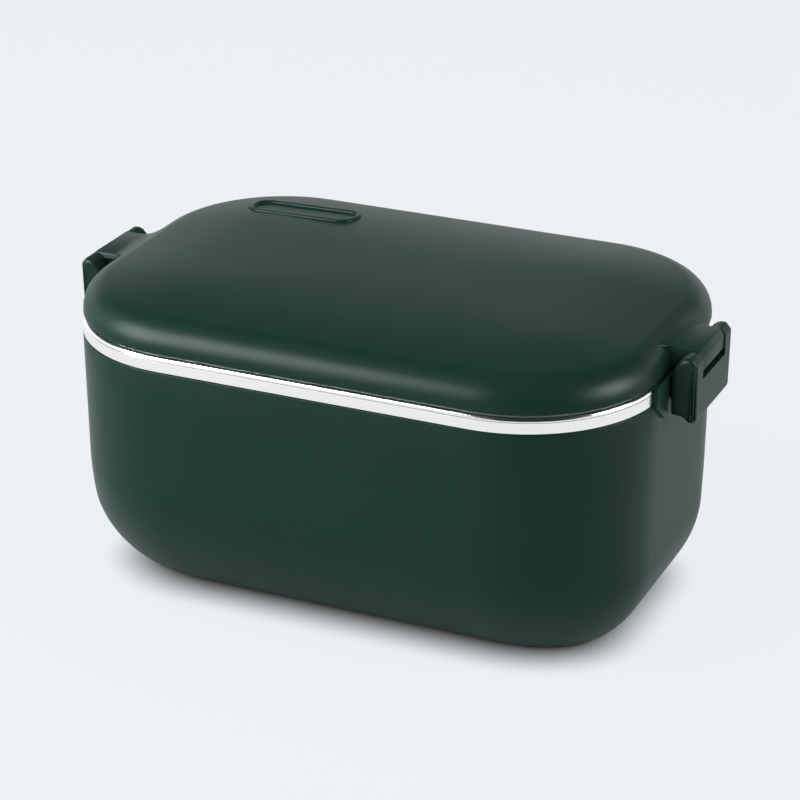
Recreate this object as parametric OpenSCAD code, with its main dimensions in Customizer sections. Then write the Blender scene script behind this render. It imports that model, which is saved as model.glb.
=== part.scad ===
// Electric lunch box: a heated steel liner in a moulded shell, a lift-out
// container, and a pillow lid held by a swing latch at each end.
// Millimetres. +Z up, +X to the right end, -Y to the front.
// The origin is on the table, below the middle of the box.
// Heights named *_z are counted from the lower edge of the steel band.

/* [Body] */
// Length of the body at the steel band
body_l = 230; // [200:1:280]
// Width of the body at the steel band
body_w = 157; // [140:1:190]
// Radius of the body's upright corners
corner_r = 53; // [46:1:60]
// Height of the straight part of the wall
wall_h = 68; // [67:1:84]
// Lean of the straight wall, in degrees
wall_draft = 0.8; // [0:0.1:2]
// Radius of the bend under the straight wall
knuckle_r = 22; // [18:1:26]
// Turn of that bend, in degrees
knuckle_turn = 42; // [39:1:44]
// Radius of the long curve below the bend
belly_r = 72; // [67:1:74]
// Slope at which the long curve ends, in degrees
floor_turn = 68; // [66:1:70]
// Radius of the edge round the flat bottom
floor_edge_r = 5; // [4:0.5:7]
// Thickness of the shell's wall
shell_t = 2.6; // [2:0.1:3.2]

/* [Steel liner] */
// Height of the visible steel band
band_h = 6; // [5:0.5:8]
// Thickness of the steel
steel_t = 0.8; // [0.6:0.1:1.2]
// Radius of the band's upper edge
band_edge_r = 1.4; // [1.2:0.1:2]
// Width of the flat rim
rim_w = 10; // [9:0.5:13]
// Depth of the liner below the band's lower edge
liner_d = 68; // [56:1:68]
// Lean of the liner's and the container's wall, in degrees
liner_draft = 2; // [1:0.5:3]
// Radius of the liner's lower edge
liner_edge_r = 22; // [16:1:26]

/* [Food container] */
// Thickness of the container's steel
tray_t = 0.7; // [0.5:0.1:1]
// Width of the container's flange over the liner's rim
tray_flange = 3; // [2:0.5:3]
// Gap between the container's wall and the liner
tray_gap = 0.5; // [0.3:0.1:1]

/* [Lid] */
// Gap between the band and the lid's edge
lid_gap = 0.8; // [0.6:0.1:1.2]
// How far the lid's edge stands inside the band
lid_inset = 0.4; // [0.2:0.1:1]
// Height of the lid's upright edge
lid_edge_h = 1.3; // [1:0.1:3]
// Radius of the lid's shoulder
shoulder_r = 11; // [9:0.5:14]
// Slope at which the shoulder runs into the crown, in degrees
crown_slope = 8; // [6:0.5:10]
// Thickness of the lid shell
lid_t = 2.2; // [2:0.1:3]
// Thickness of the lid's inner cover
cover_t = 1.8; // [1.5:0.1:2.5]
// Width of the lid seal
seal_w = 3.2; // [2.8:0.1:3.6]
// Radius of the posts that carry the inner cover
post_r = 3; // [2:0.5:4]

/* [Latches] */
// Reach of the lid's tab beyond the band
tab_reach = 11.3; // [10.5:0.1:12.5]
// Width of the tab
tab_w = 24.8; // [22:0.2:27]
// Height of the tab's top above the band's lower edge
tab_top_z = 15.4; // [15:0.1:16]
// Radius of the tab's outer upper edge
tab_edge_r = 3; // [2:0.5:3.5]
// Width of a latch across its arms
latch_w = 42; // [39:0.5:46]
// How much narrower a latch is at its lower edge
latch_taper = 2.5; // [0:0.5:4]
// Height of a latch above its lower edge
latch_h = 27.8; // [27:0.2:29]
// Depth of a latch's cheeks
latch_depth = 10.1; // [9.5:0.1:10.6]
// Thickness of a latch's outer plate
latch_plate_t = 2.8; // [2.4:0.1:3.2]
// Thickness of a latch's cheeks
cheek_t = 3; // [2.5:0.1:3.5]
// Radius of the latch pins
pin_r = 1.5; // [1.2:0.1:1.8]
// Thickness of the catch pad on the body
catch_t = 1.3; // [1:0.1:1.3]
// Width of the catch pad
catch_w = 64; // [60:1:68]
// Reach of the catch lip beyond the pad
lip_reach = 2.7; // [2:0.1:3]
// Width of the catch lip
lip_w = 30; // [26:1:31]

/* [Steam stopper] */
// Length of the stopper
vent_l = 43; // [36:1:46]
// Width of the stopper
vent_w = 16; // [13:0.5:17]
// Radius of the stopper's corners
vent_corner_r = 6.5; // [4:0.5:6.5]
// Height of the stopper's raised rim over the lid
vent_rim_h = 0.9; // [0.5:0.1:1.5]
// Width of the raised rim
vent_rim_w = 1.7; // [1.2:0.1:2.5]
// Radius of the plug under the stopper
vent_plug_r = 4; // [3:0.5:5]

/* [Power inlet] */
// Width of the niche in the back wall
niche_w = 38; // [36:0.5:44]
// Height of the niche
niche_h = 19; // [18.5:0.5:20]
// Depth of the niche, from the band's width
niche_d = 23.5; // [22:0.5:24]
// Height of the inlet's well
well_h = 8.2; // [7.6:0.1:9]
// Distance between the two contact pins
contact_pitch = 8.6; // [8:0.1:9]
// Radius of a contact pin
contact_r = 1.2; // [1:0.05:1.3]
// Depth of the inlet's well
well_d = 9; // [8:0.5:10]
// Thickness of the inlet cover
flap_t = 3; // [2.6:0.1:3.2]
// Radius of the inlet cover's hinge pin
flap_pin_r = 0.8; // [0.6:0.1:0.9]

/* [Indicator] */
// Radius of the indicator lens
lens_r = 2.5; // [2:0.1:3.5]
// Height of the lens above the niche
lens_rise = 21; // [18:0.5:26]

/* [Heater] */
// Length of the heating plate
plate_l = 150; // [130:1:156]
// Width of the heating plate
plate_w = 80; // [70:1:82]
// Thickness of the heating plate
plate_t = 3; // [2:0.5:4]
// Length of the flat heater
heater_l = 62; // [50:1:70]
// Width of the flat heater
heater_w = 22; // [18:1:26]
// Thickness of the flat heater
heater_t = 6; // [5:0.5:7]
// Radius of the thermostat's can
thermostat_r = 8; // [7:0.5:9]
// Height of the thermostat's can
thermostat_h = 7; // [6:0.5:8]
// Radius of the thermal fuse
fuse_r = 2; // [1.5:0.1:2.5]
// Radius of the wires
wire_r = 0.9; // [0.7:0.1:1.1]
// Thickness of the insulation pad
pad_t = 4; // [3:0.5:5]

/* [Bottom] */
// Width of the shell's edge round the bottom cover
base_lip = 2.5; // [2:0.25:6]
// Thickness of the bottom cover
base_t = 3; // [2.8:0.1:4]
// Width of the ledge that the bottom cover sits under
ledge_w = 6; // [6:0.5:7]
// Thickness of that ledge
ledge_t = 2.4; // [2:0.1:3]
// Radius of a foot
foot_r = 7; // [6:0.5:8]
// How far the feet stand out of the bottom
foot_stand = 1.2; // [1:0.1:2]
// Depth of the seats that hold the feet
foot_seat = 1; // [0.6:0.1:1.4]

/* [Fasteners] */
// Radius of the bottom screws' shanks
screw_r = 1.45; // [1.2:0.05:1.6]
// Length of the bottom screws
screw_len = 9; // [8:0.5:10]
// Radius of the small screws' shanks
small_screw_r = 1; // [0.8:0.05:1.2]

/* [Clearances] */
// Line of shadow between the shell and the band
rim_gap = 0.35; // [0.3:0.05:0.6]
// Clearance between neighbouring pieces
fit = 0.3; // [0.2:0.05:0.4]
// Clearance of a pin in its bore
bore_fit = 0.06; // [0.04:0.01:0.1]

/* [Hidden] */
$fn = 96;

// Colours of the materials
green = "#2c423a";
silicone_green = "#1d3a31";
steel = "#c9c6c1";
aluminium = "#b4b6b8";
black = "#202224";
white = "#e4e4e0";
brass = "#c2a25a";

// A small overlap that only joins cuts and never sets a size
cut = 1;

// Outward normal of a section that has turned down by a degrees from upright
function down_dir(a) = [cos(a), -sin(a)];
// Outward normal of a section that has turned up by a degrees from upright
function up_dir(a) = [cos(a), sin(a)];

// Section of the body: x from the corner's axis, y from the band's lower edge
knuckle_end = wall_draft + knuckle_turn;
wall_foot = [corner_r - wall_h * tan(wall_draft), -wall_h];
knuckle_c = wall_foot - knuckle_r * down_dir(wall_draft);
belly_c = knuckle_c + (knuckle_r - belly_r) * down_dir(knuckle_end);
edge_c = belly_c + (belly_r - floor_edge_r) * down_dir(floor_turn);
floor_z = edge_c[1] - floor_edge_r;
band_z = foot_stand - floor_z;

// Neck that carries the steel rim
neck_out = corner_r - steel_t - fit;
neck_in = neck_out - 2.5;
neck_top = band_h - steel_t;

// Liner and container, in the same section
liner_x = corner_r - rim_w;
liner_floor = -liner_d;
tray_x = liner_x - tray_gap;
tray_z = band_h + 0.05;
tray_floor = liner_floor + fit;

// Lid section
lid_z = band_h + lid_gap;
lid_x = corner_r - lid_inset;
shoulder_c = [lid_x - shoulder_r, lid_z + lid_edge_h];
crown_start = shoulder_c + shoulder_r * up_dir(90 - crown_slope);
crown_r = crown_start[0] / sin(crown_slope);
crown_c = [0, crown_start[1] - crown_r * cos(crown_slope)];
lid_top = crown_c[1] + crown_r;
cover_z = lid_z + 1.6;
cover_x = lid_x - lid_t - fit;
seal_x = cover_x - seal_w - 0.3;
rib_t = 1;

// Latches, in the frame of the right end
end_x = body_l / 2;
tab_x = end_x + tab_reach;
latch_out = tab_x + 0.4;
latch_in = latch_out - latch_depth;
latch_top = tab_top_z + 1;
latch_low = latch_top - latch_h;
plate_in = latch_out - latch_plate_t;
pin_x = tab_x - 4.8;
pin_z = tab_top_z - 4.4;
tab_low = lid_z;
notch_z = tab_low - 2.6;
arm_in = tab_w / 2 + 0.4;
lug_low = notch_z - 0.2;
pin_half = latch_w / 2 - 2.4;
pad_x = end_x + catch_t;
pad_top = lid_z - 0.4;
lip_x = pad_x + lip_reach;
lip_low = -4;
hook_top = lip_low - fit;
hook_h = 3;

// Stopper: it lies on the crown, leaning with it
vent_x = -(body_l / 2 - corner_r);
vent_out = 22.5;
vent_y = body_w / 2 - corner_r + vent_out;
vent_lean = asin(vent_out / crown_r);
vent_z = crown_c[1] + crown_r * cos(vent_lean);
vent_pocket = 1.6;
vent_plug_len = 4.8;

// Inlet niche, counted down from the straight wall's foot
niche_y = body_w / 2 - niche_d;
niche_top = -wall_h - 3;
niche_mid = niche_top - niche_h / 2;
inlet_z = niche_mid - 1;
flange_t = 1.5;
flange_w = 34;
flange_h = 14.5;
housing_w = 20;
housing_h = 11.5;
housing_d = 14;
inlet_screw_x = 13.6;
flap_w = niche_w - 2;
flap_axis_y = niche_y + flange_t + fit + flap_t / 2;
flap_axis_z = niche_top - fit - flap_t / 2;
flap_low = niche_top - niche_h + 1.2;
lens_z = niche_top + lens_rise;
lens_y = body_w / 2 + lens_z * tan(wall_draft);

// Heater stack, hung under the liner's floor
plate_z = liner_floor - steel_t - plate_t;
heater_z = plate_z - heater_t;
clamp_t = 1;
clamp_w = 10;
clamp_ear = 9;
clip_w = 6;
clip_ear = 6;
heater_x = -16;
heater_y = -8;
heater_blade = 5;
heater_blade_y = 4;
thermostat_x = 42;
thermostat_y = -8;
thermostat_ear = 12;
blade_t = 0.8;
blade_y = 4.5;
blade_h = 5;
fuse_x = 10;
fuse_y = 16;
fuse_len = 11;
fuse_z = plate_z - fuse_r - 0.1;
lead_len = 5;
lead_r = 0.5;
clamp_half = heater_w / 2 + fit;
clip_half = fuse_r + 0.2;
clamp_screw_y = clamp_half + clamp_t + clamp_ear / 2;
clip_screw_y = clip_half + clamp_t + clip_ear / 2;
heater_screw_spots = [
    for (s = [-1, 1]) [heater_x, heater_y + s * clamp_screw_y],
    for (s = [-1, 1]) [thermostat_x + s * thermostat_ear, thermostat_y],
    [fuse_x, fuse_y + clip_screw_y]
];

// Bottom
base_r = edge_c[0] - base_lip;
base_l = body_l - 2 * (corner_r - base_r);
base_w = body_w - 2 * (corner_r - base_r);
base_top = floor_z + base_t;
ledge_top = base_top + fit / 3 + ledge_t;
foot_x = base_l / 2 - 20;
foot_y = base_w / 2 - 16;
ledge_out = base_lip - 0.5;
boss_r = 3.2;
screw_y = base_w / 2 - 22;
pad_margin = 14;
screw_spots = [
    for (sx = [-1, 1], sy = [-1, 1]) [sx * (base_l / 2 - boss_r), sy * screw_y],
    for (sy = [-1, 1]) [0, sy * (base_w / 2 - boss_r)]
];
head_r = 2.7;
head_t = 1.4;

// Places of the inlet's contacts and of the wires' ends
contact_root_r = contact_r + 0.2;
contact_back = niche_y + flange_t - housing_d;
contact_tail = contact_back - 4;
blade_z = plate_z - thermostat_h - 3;
heater_end = heater_x + heater_l / 2 + heater_blade + wire_r;

// Everything is modelled from the band's lower edge and lifted to its height
module at_band() {
    translate([0, 0, band_z]) children();
}

// Turns the right end's pieces into the left end's
module at_end(side) {
    rotate([0, 0, side > 0 ? 0 : 180]) children();
}

// A part of a disc between two directions, for one arc of a section
module sector(c, r, from, to) {
    intersection() {
        translate(c) circle(r = r);
        polygon([c, c + 3 * r * from, c + 3 * r * to]);
    }
}

// The body's section, set in by t from the outside and closed at z = top
module body_section(t, top) {
    wall_top = corner_r + top * tan(wall_draft) - t / cos(wall_draft);
    intersection() {
        translate([0, floor_z - cut]) square([corner_r + cut, -floor_z + 2 * cut]);
        union() {
            polygon([
                [0, top], [wall_top, top],
                knuckle_c + (knuckle_r - t) * down_dir(wall_draft),
                belly_c + (belly_r - t) * down_dir(knuckle_end),
                edge_c + (floor_edge_r - t) * down_dir(floor_turn),
                edge_c + (floor_edge_r - t) * down_dir(90),
                [0, floor_z + t]
            ]);
            sector(knuckle_c, knuckle_r - t, down_dir(wall_draft), down_dir(knuckle_end));
            sector(belly_c, belly_r - t, down_dir(knuckle_end), down_dir(floor_turn));
            sector(edge_c, floor_edge_r - t, down_dir(floor_turn), down_dir(90));
        }
    }
}

// The lid's section, set in by t from the outside and cut off at its edge
module lid_section(t) {
    intersection() {
        translate([0, lid_z]) square([corner_r, lid_top - lid_z + cut]);
        union() {
            polygon([
                [0, lid_z], [lid_x - t, lid_z],
                shoulder_c + [shoulder_r - t, 0],
                shoulder_c + (shoulder_r - t) * up_dir(90 - crown_slope),
                [0, crown_c[1] + crown_r - t]
            ]);
            sector(shoulder_c, shoulder_r - t, up_dir(0), up_dir(90 - crown_slope));
            sector(crown_c, crown_r - t, up_dir(90 - crown_slope), up_dir(90));
        }
    }
}

// A deep-drawn cup's section: leaning wall, round lower edge, flat floor
module cup_section(x, top, floor, r) {
    c = [x - (top - floor - r) * tan(liner_draft) - r / cos(liner_draft), floor + r];
    polygon([
        [0, top], [x, top], c + r * down_dir(liner_draft),
        c + r * down_dir(90), [0, floor]
    ]);
    sector(c, r, down_dir(liner_draft), down_dir(90));
}

// Carries a section round the body's outline. The section starts at the
// corner's axis, and low and high give what it fills there, for the middle.
module round_sweep(low = 0, high = 0) {
    dx = body_l / 2 - corner_r;
    dy = body_w / 2 - corner_r;
    for (k = [0:3]) {
        odd = k % 2;
        turn = 90 * k;
        ax = odd ? dy : dx;
        ay = odd ? dx : dy;
        rotate([0, 0, turn]) translate([ax, ay, 0]) {
            rotate_extrude(angle = 90) children();
            rotate([90, 0, 0]) linear_extrude(2 * ay) children();
        }
    }
    if (high > low) {
        translate([-dx, -dy, low]) cube([2 * dx, 2 * dy, high - low]);
    }
}

// A flat plate with round corners, centred
module round_plate(l, w, r, t) {
    linear_extrude(t) round_outline(l, w, r);
}

module round_outline(l, w, r) {
    square([l, w - 2 * r], center = true);
    square([l - 2 * r, w], center = true);
    for (sx = [-1, 1], sy = [-1, 1]) {
        translate([sx * (l / 2 - r), sy * (w / 2 - r)]) circle(r = r);
    }
}

// A rod between two points along X, Y or Z
module rod_x(x0, x1, y, z, r) {
    translate([x0, y, z]) rotate([0, 90, 0]) cylinder(h = x1 - x0, r = r);
}

module rod_y(y0, y1, x, z, r) {
    translate([x, y1, z]) rotate([90, 0, 0]) cylinder(h = y1 - y0, r = r);
}

// Direction of a wire's run at point i: the mean of the stretches that meet there
function run_dir(p, i) =
    let (a = p[max(i, 1)] - p[max(i, 1) - 1], b = p[min(i, len(p) - 2) + 1] - p[min(i, len(p) - 2)])
    let (d = a / norm(a) + b / norm(b)) d / norm(d);

// Rings of a tube: each side direction is turned on from the one before
function ring_sides(p, i) = i == 0
    ? let (d = run_dir(p, 0), s = cross(d, [0, 0, 1])) s / norm(s)
    : let (d = run_dir(p, i), s = ring_sides(p, i - 1), q = s - (s * d) * d) q / norm(q);

// A wire as one tube along its points
module wire(points) {
    sides = 8;
    rings = [
        for (i = [0:len(points) - 1]) let (d = run_dir(points, i), s = ring_sides(points, i), u = cross(d, s))
        for (k = [0:sides - 1]) points[i] + wire_r * (cos(360 * k / sides) * s + sin(360 * k / sides) * u)
    ];
    last = len(points) - 1;
    polyhedron(rings, concat(
        [[for (k = [0:sides - 1]) k]],
        [for (i = [0:last - 1], k = [0:sides - 1]) let (a = i * sides + k, b = i * sides + (k + 1) % sides)
            each [[a, a + sides, b + sides], [a, b + sides, b]]],
        [[for (k = [0:sides - 1]) last * sides + sides - 1 - k]]
    ));
}

// A smooth route through hand-picked points, three steps to a stretch
function smooth(p) = [
    for (i = [0:len(p) - 2], s = [0, 1 / 3, 2 / 3]) let (
        a = p[max(i - 1, 0)], b = p[i], c = p[i + 1], d = p[min(i + 2, len(p) - 1)]
    ) 0.5 * (2 * b + (c - a) * s + (2 * a - 5 * b + 4 * c - d) * s * s + (3 * b - a - 3 * c + d) * s * s * s),
    p[len(p) - 1]
];

// Body

module body_solid() {
    round_sweep(floor_z, -rim_gap) body_section(0, -rim_gap);
}

module body_cavity() {
    round_sweep(floor_z + shell_t, -rim_gap + cut) union() {
        body_section(shell_t, -rim_gap);
        translate([0, -rim_gap - 0.01]) square([neck_in, cut + 0.01]);
    }
}

// The neck inside the steel band
module shell_neck() {
    round_sweep() translate([neck_in, -rim_gap - 2]) {
        square([neck_out - neck_in, neck_top + rim_gap + 2]);
    }
}

// Catch pad and lip on one end
module catch_pad() {
    half = catch_w / 2;
    low = lip_low - 6;
    difference() {
        union() {
            translate([end_x - 5, 0, 0]) rotate([90, 0, 90]) linear_extrude(catch_t + 5) {
                polygon([
                    [-half, pad_top - 1], [-half + 1, pad_top], [half - 1, pad_top],
                    [half, pad_top - 1], [half, -0.5], [half - 12, low],
                    [-half + 12, low], [-half, -0.5]
                ]);
            }
            translate([0, lip_w / 2, 0]) rotate([90, 0, 0]) linear_extrude(lip_w) {
                polygon([
                    [end_x - 2, pad_top - 3], [pad_x, pad_top - 3], [lip_x, 0],
                    [lip_x, lip_low], [end_x - 2, lip_low]
                ]);
            }
        }
        translate([0, 0, -rim_gap]) {
            round_plate(body_l + fit, body_w + fit, corner_r + fit / 2, band_h + 2);
        }
    }
}

// A plate with the bottom cover's outline, larger all round by grow
module base_plate(grow, t) {
    round_plate(base_l + 2 * grow, base_w + 2 * grow, base_r + grow, t);
}

// The ring that the bottom cover sits under, with its screw bosses
module shell_ledge() {
    difference() {
        translate([0, 0, floor_z]) base_plate(ledge_out, ledge_top - floor_z);
        translate([0, 0, floor_z - cut]) {
            base_plate(fit, base_t + fit / 3 + cut);
            base_plate(-ledge_w, ledge_top - floor_z + 2 * cut);
        }
    }
    for (p = screw_spots) {
        translate([p[0], p[1], ledge_top - ledge_t]) cylinder(h = ledge_t + 6, r = boss_r);
    }
}

// Walls of the niche that takes the power inlet
module niche_block() {
    translate([-niche_w / 2 - shell_t, niche_y - shell_t, niche_top - niche_h - shell_t]) {
        cube([niche_w + 2 * shell_t, body_w / 2 - niche_y + shell_t, niche_h + 2 * shell_t]);
    }
}

module niche_cut() {
    translate([-niche_w / 2, niche_y, niche_top - niche_h]) {
        cube([niche_w, body_w / 2, niche_h]);
    }
}

module outer_shell() {
    color(green) at_band() difference() {
        union() {
            difference() {
                union() {
                    body_solid();
                    catch_pad();
                    at_end(-1) catch_pad();
                }
                body_cavity();
                translate([0, 0, floor_z - cut]) base_plate(ledge_out, shell_t + 2 * cut);
            }
            shell_neck();
            shell_ledge();
            intersection() {
                niche_block();
                body_solid();
            }
        }
        niche_cut();
        // Opening for the inlet housing
        translate([0, niche_y - shell_t / 2, inlet_z]) {
            cube([housing_w + 2 * fit, shell_t + cut, housing_h + 2 * fit], center = true);
        }
        // Pilot holes of the inlet screws
        for (sx = [-1, 1]) {
            rod_y(niche_y - shell_t - cut, niche_y + cut, sx * inlet_screw_x, inlet_z,
                  small_screw_r + bore_fit);
        }
        // Holes for the inlet cover's hinge pin
        rod_x(-niche_w / 2 - 1.6, niche_w / 2 + 1.6, flap_axis_y, flap_axis_z,
              flap_pin_r + bore_fit / 2);
        // Pilot holes of the bottom screws
        for (p = screw_spots) {
            translate([p[0], p[1], floor_z]) cylinder(h = screw_len + cut, r = screw_r + bore_fit);
        }
        // Hole for the indicator lens
        rod_y(lens_y - 6, lens_y + 2, 0, lens_z, lens_r + bore_fit);
    }
}

// Liner and container

module steel_liner() {
    t = steel_t;
    color(steel) at_band() round_sweep(liner_floor - t, liner_floor) difference() {
        union() {
            cup_section(liner_x + t, band_h - t, liner_floor - t, liner_edge_r + t);
            translate([liner_x, band_h - t]) square([rim_w - band_edge_r, t]);
            translate([corner_r - t, 0]) square([t, band_h - band_edge_r]);
            intersection() {
                translate([corner_r - band_edge_r, band_h - band_edge_r]) circle(r = band_edge_r);
                translate([corner_r - band_edge_r, band_h - band_edge_r]) square(band_edge_r);
            }
        }
        cup_section(liner_x, band_h, liner_floor, liner_edge_r);
        translate([corner_r - band_edge_r, band_h - band_edge_r]) circle(r = band_edge_r - t);
    }
}

module food_container() {
    t = tray_t;
    color(steel) at_band() round_sweep(tray_floor, tray_floor + t) difference() {
        union() {
            cup_section(tray_x, tray_z + t, tray_floor, liner_edge_r - tray_gap);
            translate([tray_x - t, tray_z]) square([t + tray_gap + tray_flange, t]);
        }
        cup_section(tray_x - t, tray_z + 2 * t, tray_floor + t, liner_edge_r - tray_gap - t);
    }
}

// Bottom

module bottom_cover() {
    color(black) at_band() difference() {
        translate([0, 0, floor_z]) base_plate(0, base_t);
        for (sx = [-1, 1], sy = [-1, 1]) {
            translate([sx * foot_x, sy * foot_y, floor_z - cut]) {
                cylinder(h = foot_seat + cut, r = foot_r + fit / 3);
            }
        }
        for (p = screw_spots) {
            translate([p[0], p[1], floor_z - cut]) {
                cylinder(h = base_t + 2 * cut, r = screw_r + fit);
                cylinder(h = head_t + cut, r = head_r + fit);
            }
        }
    }
}

module bottom_screws() {
    color(steel) at_band() for (p = screw_spots) {
        translate([p[0], p[1], floor_z + 0.1]) {
            difference() {
                cylinder(h = head_t - 0.1, r = head_r);
                translate([0, 0, -cut]) {
                    for (turn = [0, 90]) {
                        rotate([0, 0, turn]) translate([-1.5, -0.35, 0]) cube([3, 0.7, 0.7 + cut]);
                    }
                }
            }
            cylinder(h = screw_len, r = screw_r);
        }
    }
}

module foot(sx, sy) {
    color(black) at_band() translate([sx * foot_x, sy * foot_y, floor_z - foot_stand]) {
        cylinder(h = foot_stand + foot_seat, r = foot_r);
    }
}

// Heater under the liner

module heating_plate() {
    color(aluminium) at_band() difference() {
        translate([0, 0, plate_z]) round_plate(plate_l, plate_w, 20, plate_t);
        for (p = heater_screw_spots) {
            translate([p[0], p[1], plate_z - cut]) {
                cylinder(h = plate_t - 0.6 + cut, r = small_screw_r + bore_fit);
            }
        }
    }
}

module ptc_heater() {
    color(aluminium) at_band() translate([heater_x, heater_y, heater_z]) {
        difference() {
            translate([-heater_l / 2, -heater_w / 2, 0]) cube([heater_l, heater_w, heater_t]);
            // Hollow ends of the drawn tube round the ceramic stones
            for (sx = [-1, 1]) {
                translate([sx * heater_l / 2, 0, heater_t / 2]) {
                    cube([6, heater_w - 3, heater_t - 2.4], center = true);
                }
            }
        }
        // Ceramic core with its two contact blades
        translate([-heater_l / 2 + 1, -heater_w / 2 + 3, heater_t / 2 - 1]) {
            cube([4, heater_w - 6, 2]);
        }
        for (s = [-1, 1]) {
            translate([heater_l / 2 - 3, s * heater_blade_y - 1.5, (heater_t - blade_t) / 2]) {
                cube([heater_blade + 3, 3, blade_t]);
            }
        }
    }
}

// Section of a bent strap that holds a piece under the plate: half the
// piece's width, its height, and the sides that have an ear for a screw
module strap_section(half, height, ear, sides) {
    mid = half + clamp_t / 2;
    translate([-half - clamp_t, -height - clamp_t]) square([2 * (half + clamp_t), clamp_t]);
    for (s = [-1, 1]) {
        translate([s * mid, -(height + clamp_t) / 2]) {
            square([clamp_t, height + clamp_t], center = true);
        }
    }
    for (s = sides) {
        translate([s * (mid + ear / 2), -clamp_t / 2]) square([ear + clamp_t, clamp_t], center = true);
    }
}

// A strap of the given width with a screw hole in each ear
module strap(w, half, height, ear, sides) {
    difference() {
        translate([-w / 2, 0, 0]) rotate([90, 0, 90]) linear_extrude(w) {
            strap_section(half, height, ear, sides);
        }
        for (s = sides) {
            translate([0, s * (half + clamp_t + ear / 2), -clamp_t - cut]) {
                cylinder(h = clamp_t + 2 * cut, r = small_screw_r + fit);
            }
        }
    }
}

module heater_clamp() {
    color(steel) at_band() translate([heater_x, heater_y, plate_z]) {
        strap(clamp_w, clamp_half, heater_t, clamp_ear, [-1, 1]);
    }
}

module heater_screws() {
    color(steel) at_band() for (p = heater_screw_spots) {
        translate([p[0], p[1], plate_z - clamp_t - 1.2]) {
            cylinder(h = 1.2, r = 2 * small_screw_r);
            cylinder(h = 1.2 + clamp_t + plate_t - 1, r = small_screw_r);
        }
    }
}

module thermostat() {
    color(black) at_band() translate([thermostat_x, thermostat_y, plate_z]) {
        difference() {
            union() {
                translate([0, 0, -thermostat_h]) cylinder(h = thermostat_h, r = thermostat_r);
                translate([0, 0, -clamp_t]) {
                    round_plate(2 * thermostat_ear + 6, 8, 3, clamp_t);
                }
            }
            for (sx = [-1, 1]) {
                translate([sx * thermostat_ear, 0, -clamp_t - cut]) {
                    cylinder(h = clamp_t + 2 * cut, r = small_screw_r + fit);
                }
            }
        }
        for (s = [-1, 1]) {
            translate([-2, s * blade_y - blade_t / 2, -thermostat_h - blade_h]) {
                cube([4, blade_t, blade_h + 1]);
            }
        }
    }
}

module thermal_fuse() {
    half = fuse_len / 2;
    color(white) at_band() {
        rod_x(fuse_x - half, fuse_x + half, fuse_y, fuse_z, fuse_r);
        rod_x(fuse_x - half - lead_len, fuse_x + half + lead_len, fuse_y, fuse_z, lead_r);
    }
}

module fuse_clip() {
    color(steel) at_band() translate([fuse_x, fuse_y, plate_z]) {
        strap(clip_w, clip_half, 2 * fuse_r + 0.3, clip_ear, [1]);
    }
}

module insulation_pad() {
    color(white) at_band() translate([0, 0, base_top]) base_plate(-pad_margin, pad_t);
}

// Lid

module lid_pocket(extra, depth) {
    translate([vent_x, vent_y, vent_z]) rotate([-vent_lean, 0, 0]) translate([0, 0, -depth]) {
        round_plate(vent_l + 2 * extra, vent_w + 2 * extra, vent_corner_r + extra, depth + 3);
    }
}

module tab() {
    translate([0, tab_w / 2, 0]) rotate([90, 0, 0]) linear_extrude(tab_w) {
        polygon([
            [end_x - 12, tab_low], [tab_x, tab_low], [tab_x, tab_top_z - tab_edge_r],
            [tab_x - tab_edge_r, tab_top_z], [end_x - 12, tab_top_z]
        ]);
        translate([tab_x - tab_edge_r, tab_top_z - tab_edge_r]) circle(r = tab_edge_r);
    }
}

module lid_solid() {
    round_sweep(lid_z, lid_top) lid_section(0);
}

module lid_cavity() {
    round_sweep(lid_z - cut, lid_top - lid_t) union() {
        lid_section(lid_t);
        translate([0, lid_z - cut]) square([lid_x - lid_t, cut + 0.01]);
    }
}

module lid_shell() {
    posts = [for (px = [-1, 0, 1], sy = [-1, 1]) [px * (body_l / 2 - corner_r), sy * (body_w / 2 - corner_r)]];
    color(green) at_band() difference() {
        union() {
            difference() {
                union() {
                    lid_solid();
                    tab();
                    at_end(-1) tab();
                }
                lid_cavity();
            }
            intersection() {
                union() {
                    for (p = posts) {
                        translate([p[0], p[1], cover_z + cover_t]) cylinder(h = 20, r = post_r);
                    }
                    // Floor under the stopper's pocket
                    lid_pocket(2, 4);
                }
                lid_solid();
            }
        }
        lid_pocket(fit, vent_pocket);
        translate([vent_x, vent_y, vent_z]) rotate([-vent_lean, 0, 0]) translate([0, 0, -10]) {
            cylinder(h = 10, r = vent_plug_r + fit);
        }
        for (side = [-1, 1]) {
            at_end(side) rod_y(-tab_w / 2 - cut, tab_w / 2 + cut, pin_x, pin_z, pin_r + bore_fit);
        }
    }
}

module lid_inner_cover() {
    color(white) at_band() difference() {
        round_sweep(cover_z, cover_z + cover_t) union() {
            translate([0, cover_z]) square([cover_x, cover_t]);
            translate([seal_x - rib_t, cover_z - 1.2]) square([rib_t, 1.2 + cut / 2]);
        }
        translate([vent_x, vent_y, cover_z - cut]) cylinder(h = cover_t + 2 * cut, r = 3);
    }
}

module lid_seal() {
    lip = cover_z - band_h - 0.1;
    color(white) at_band() round_sweep() translate([seal_x + 0.1, band_h + 0.1]) difference() {
        square([seal_w, lip]);
        // Slot that makes the outer lip
        translate([seal_w * 0.45, -cut / 2]) square([seal_w * 0.3, lip * 0.6 + cut / 2]);
    }
}

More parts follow.
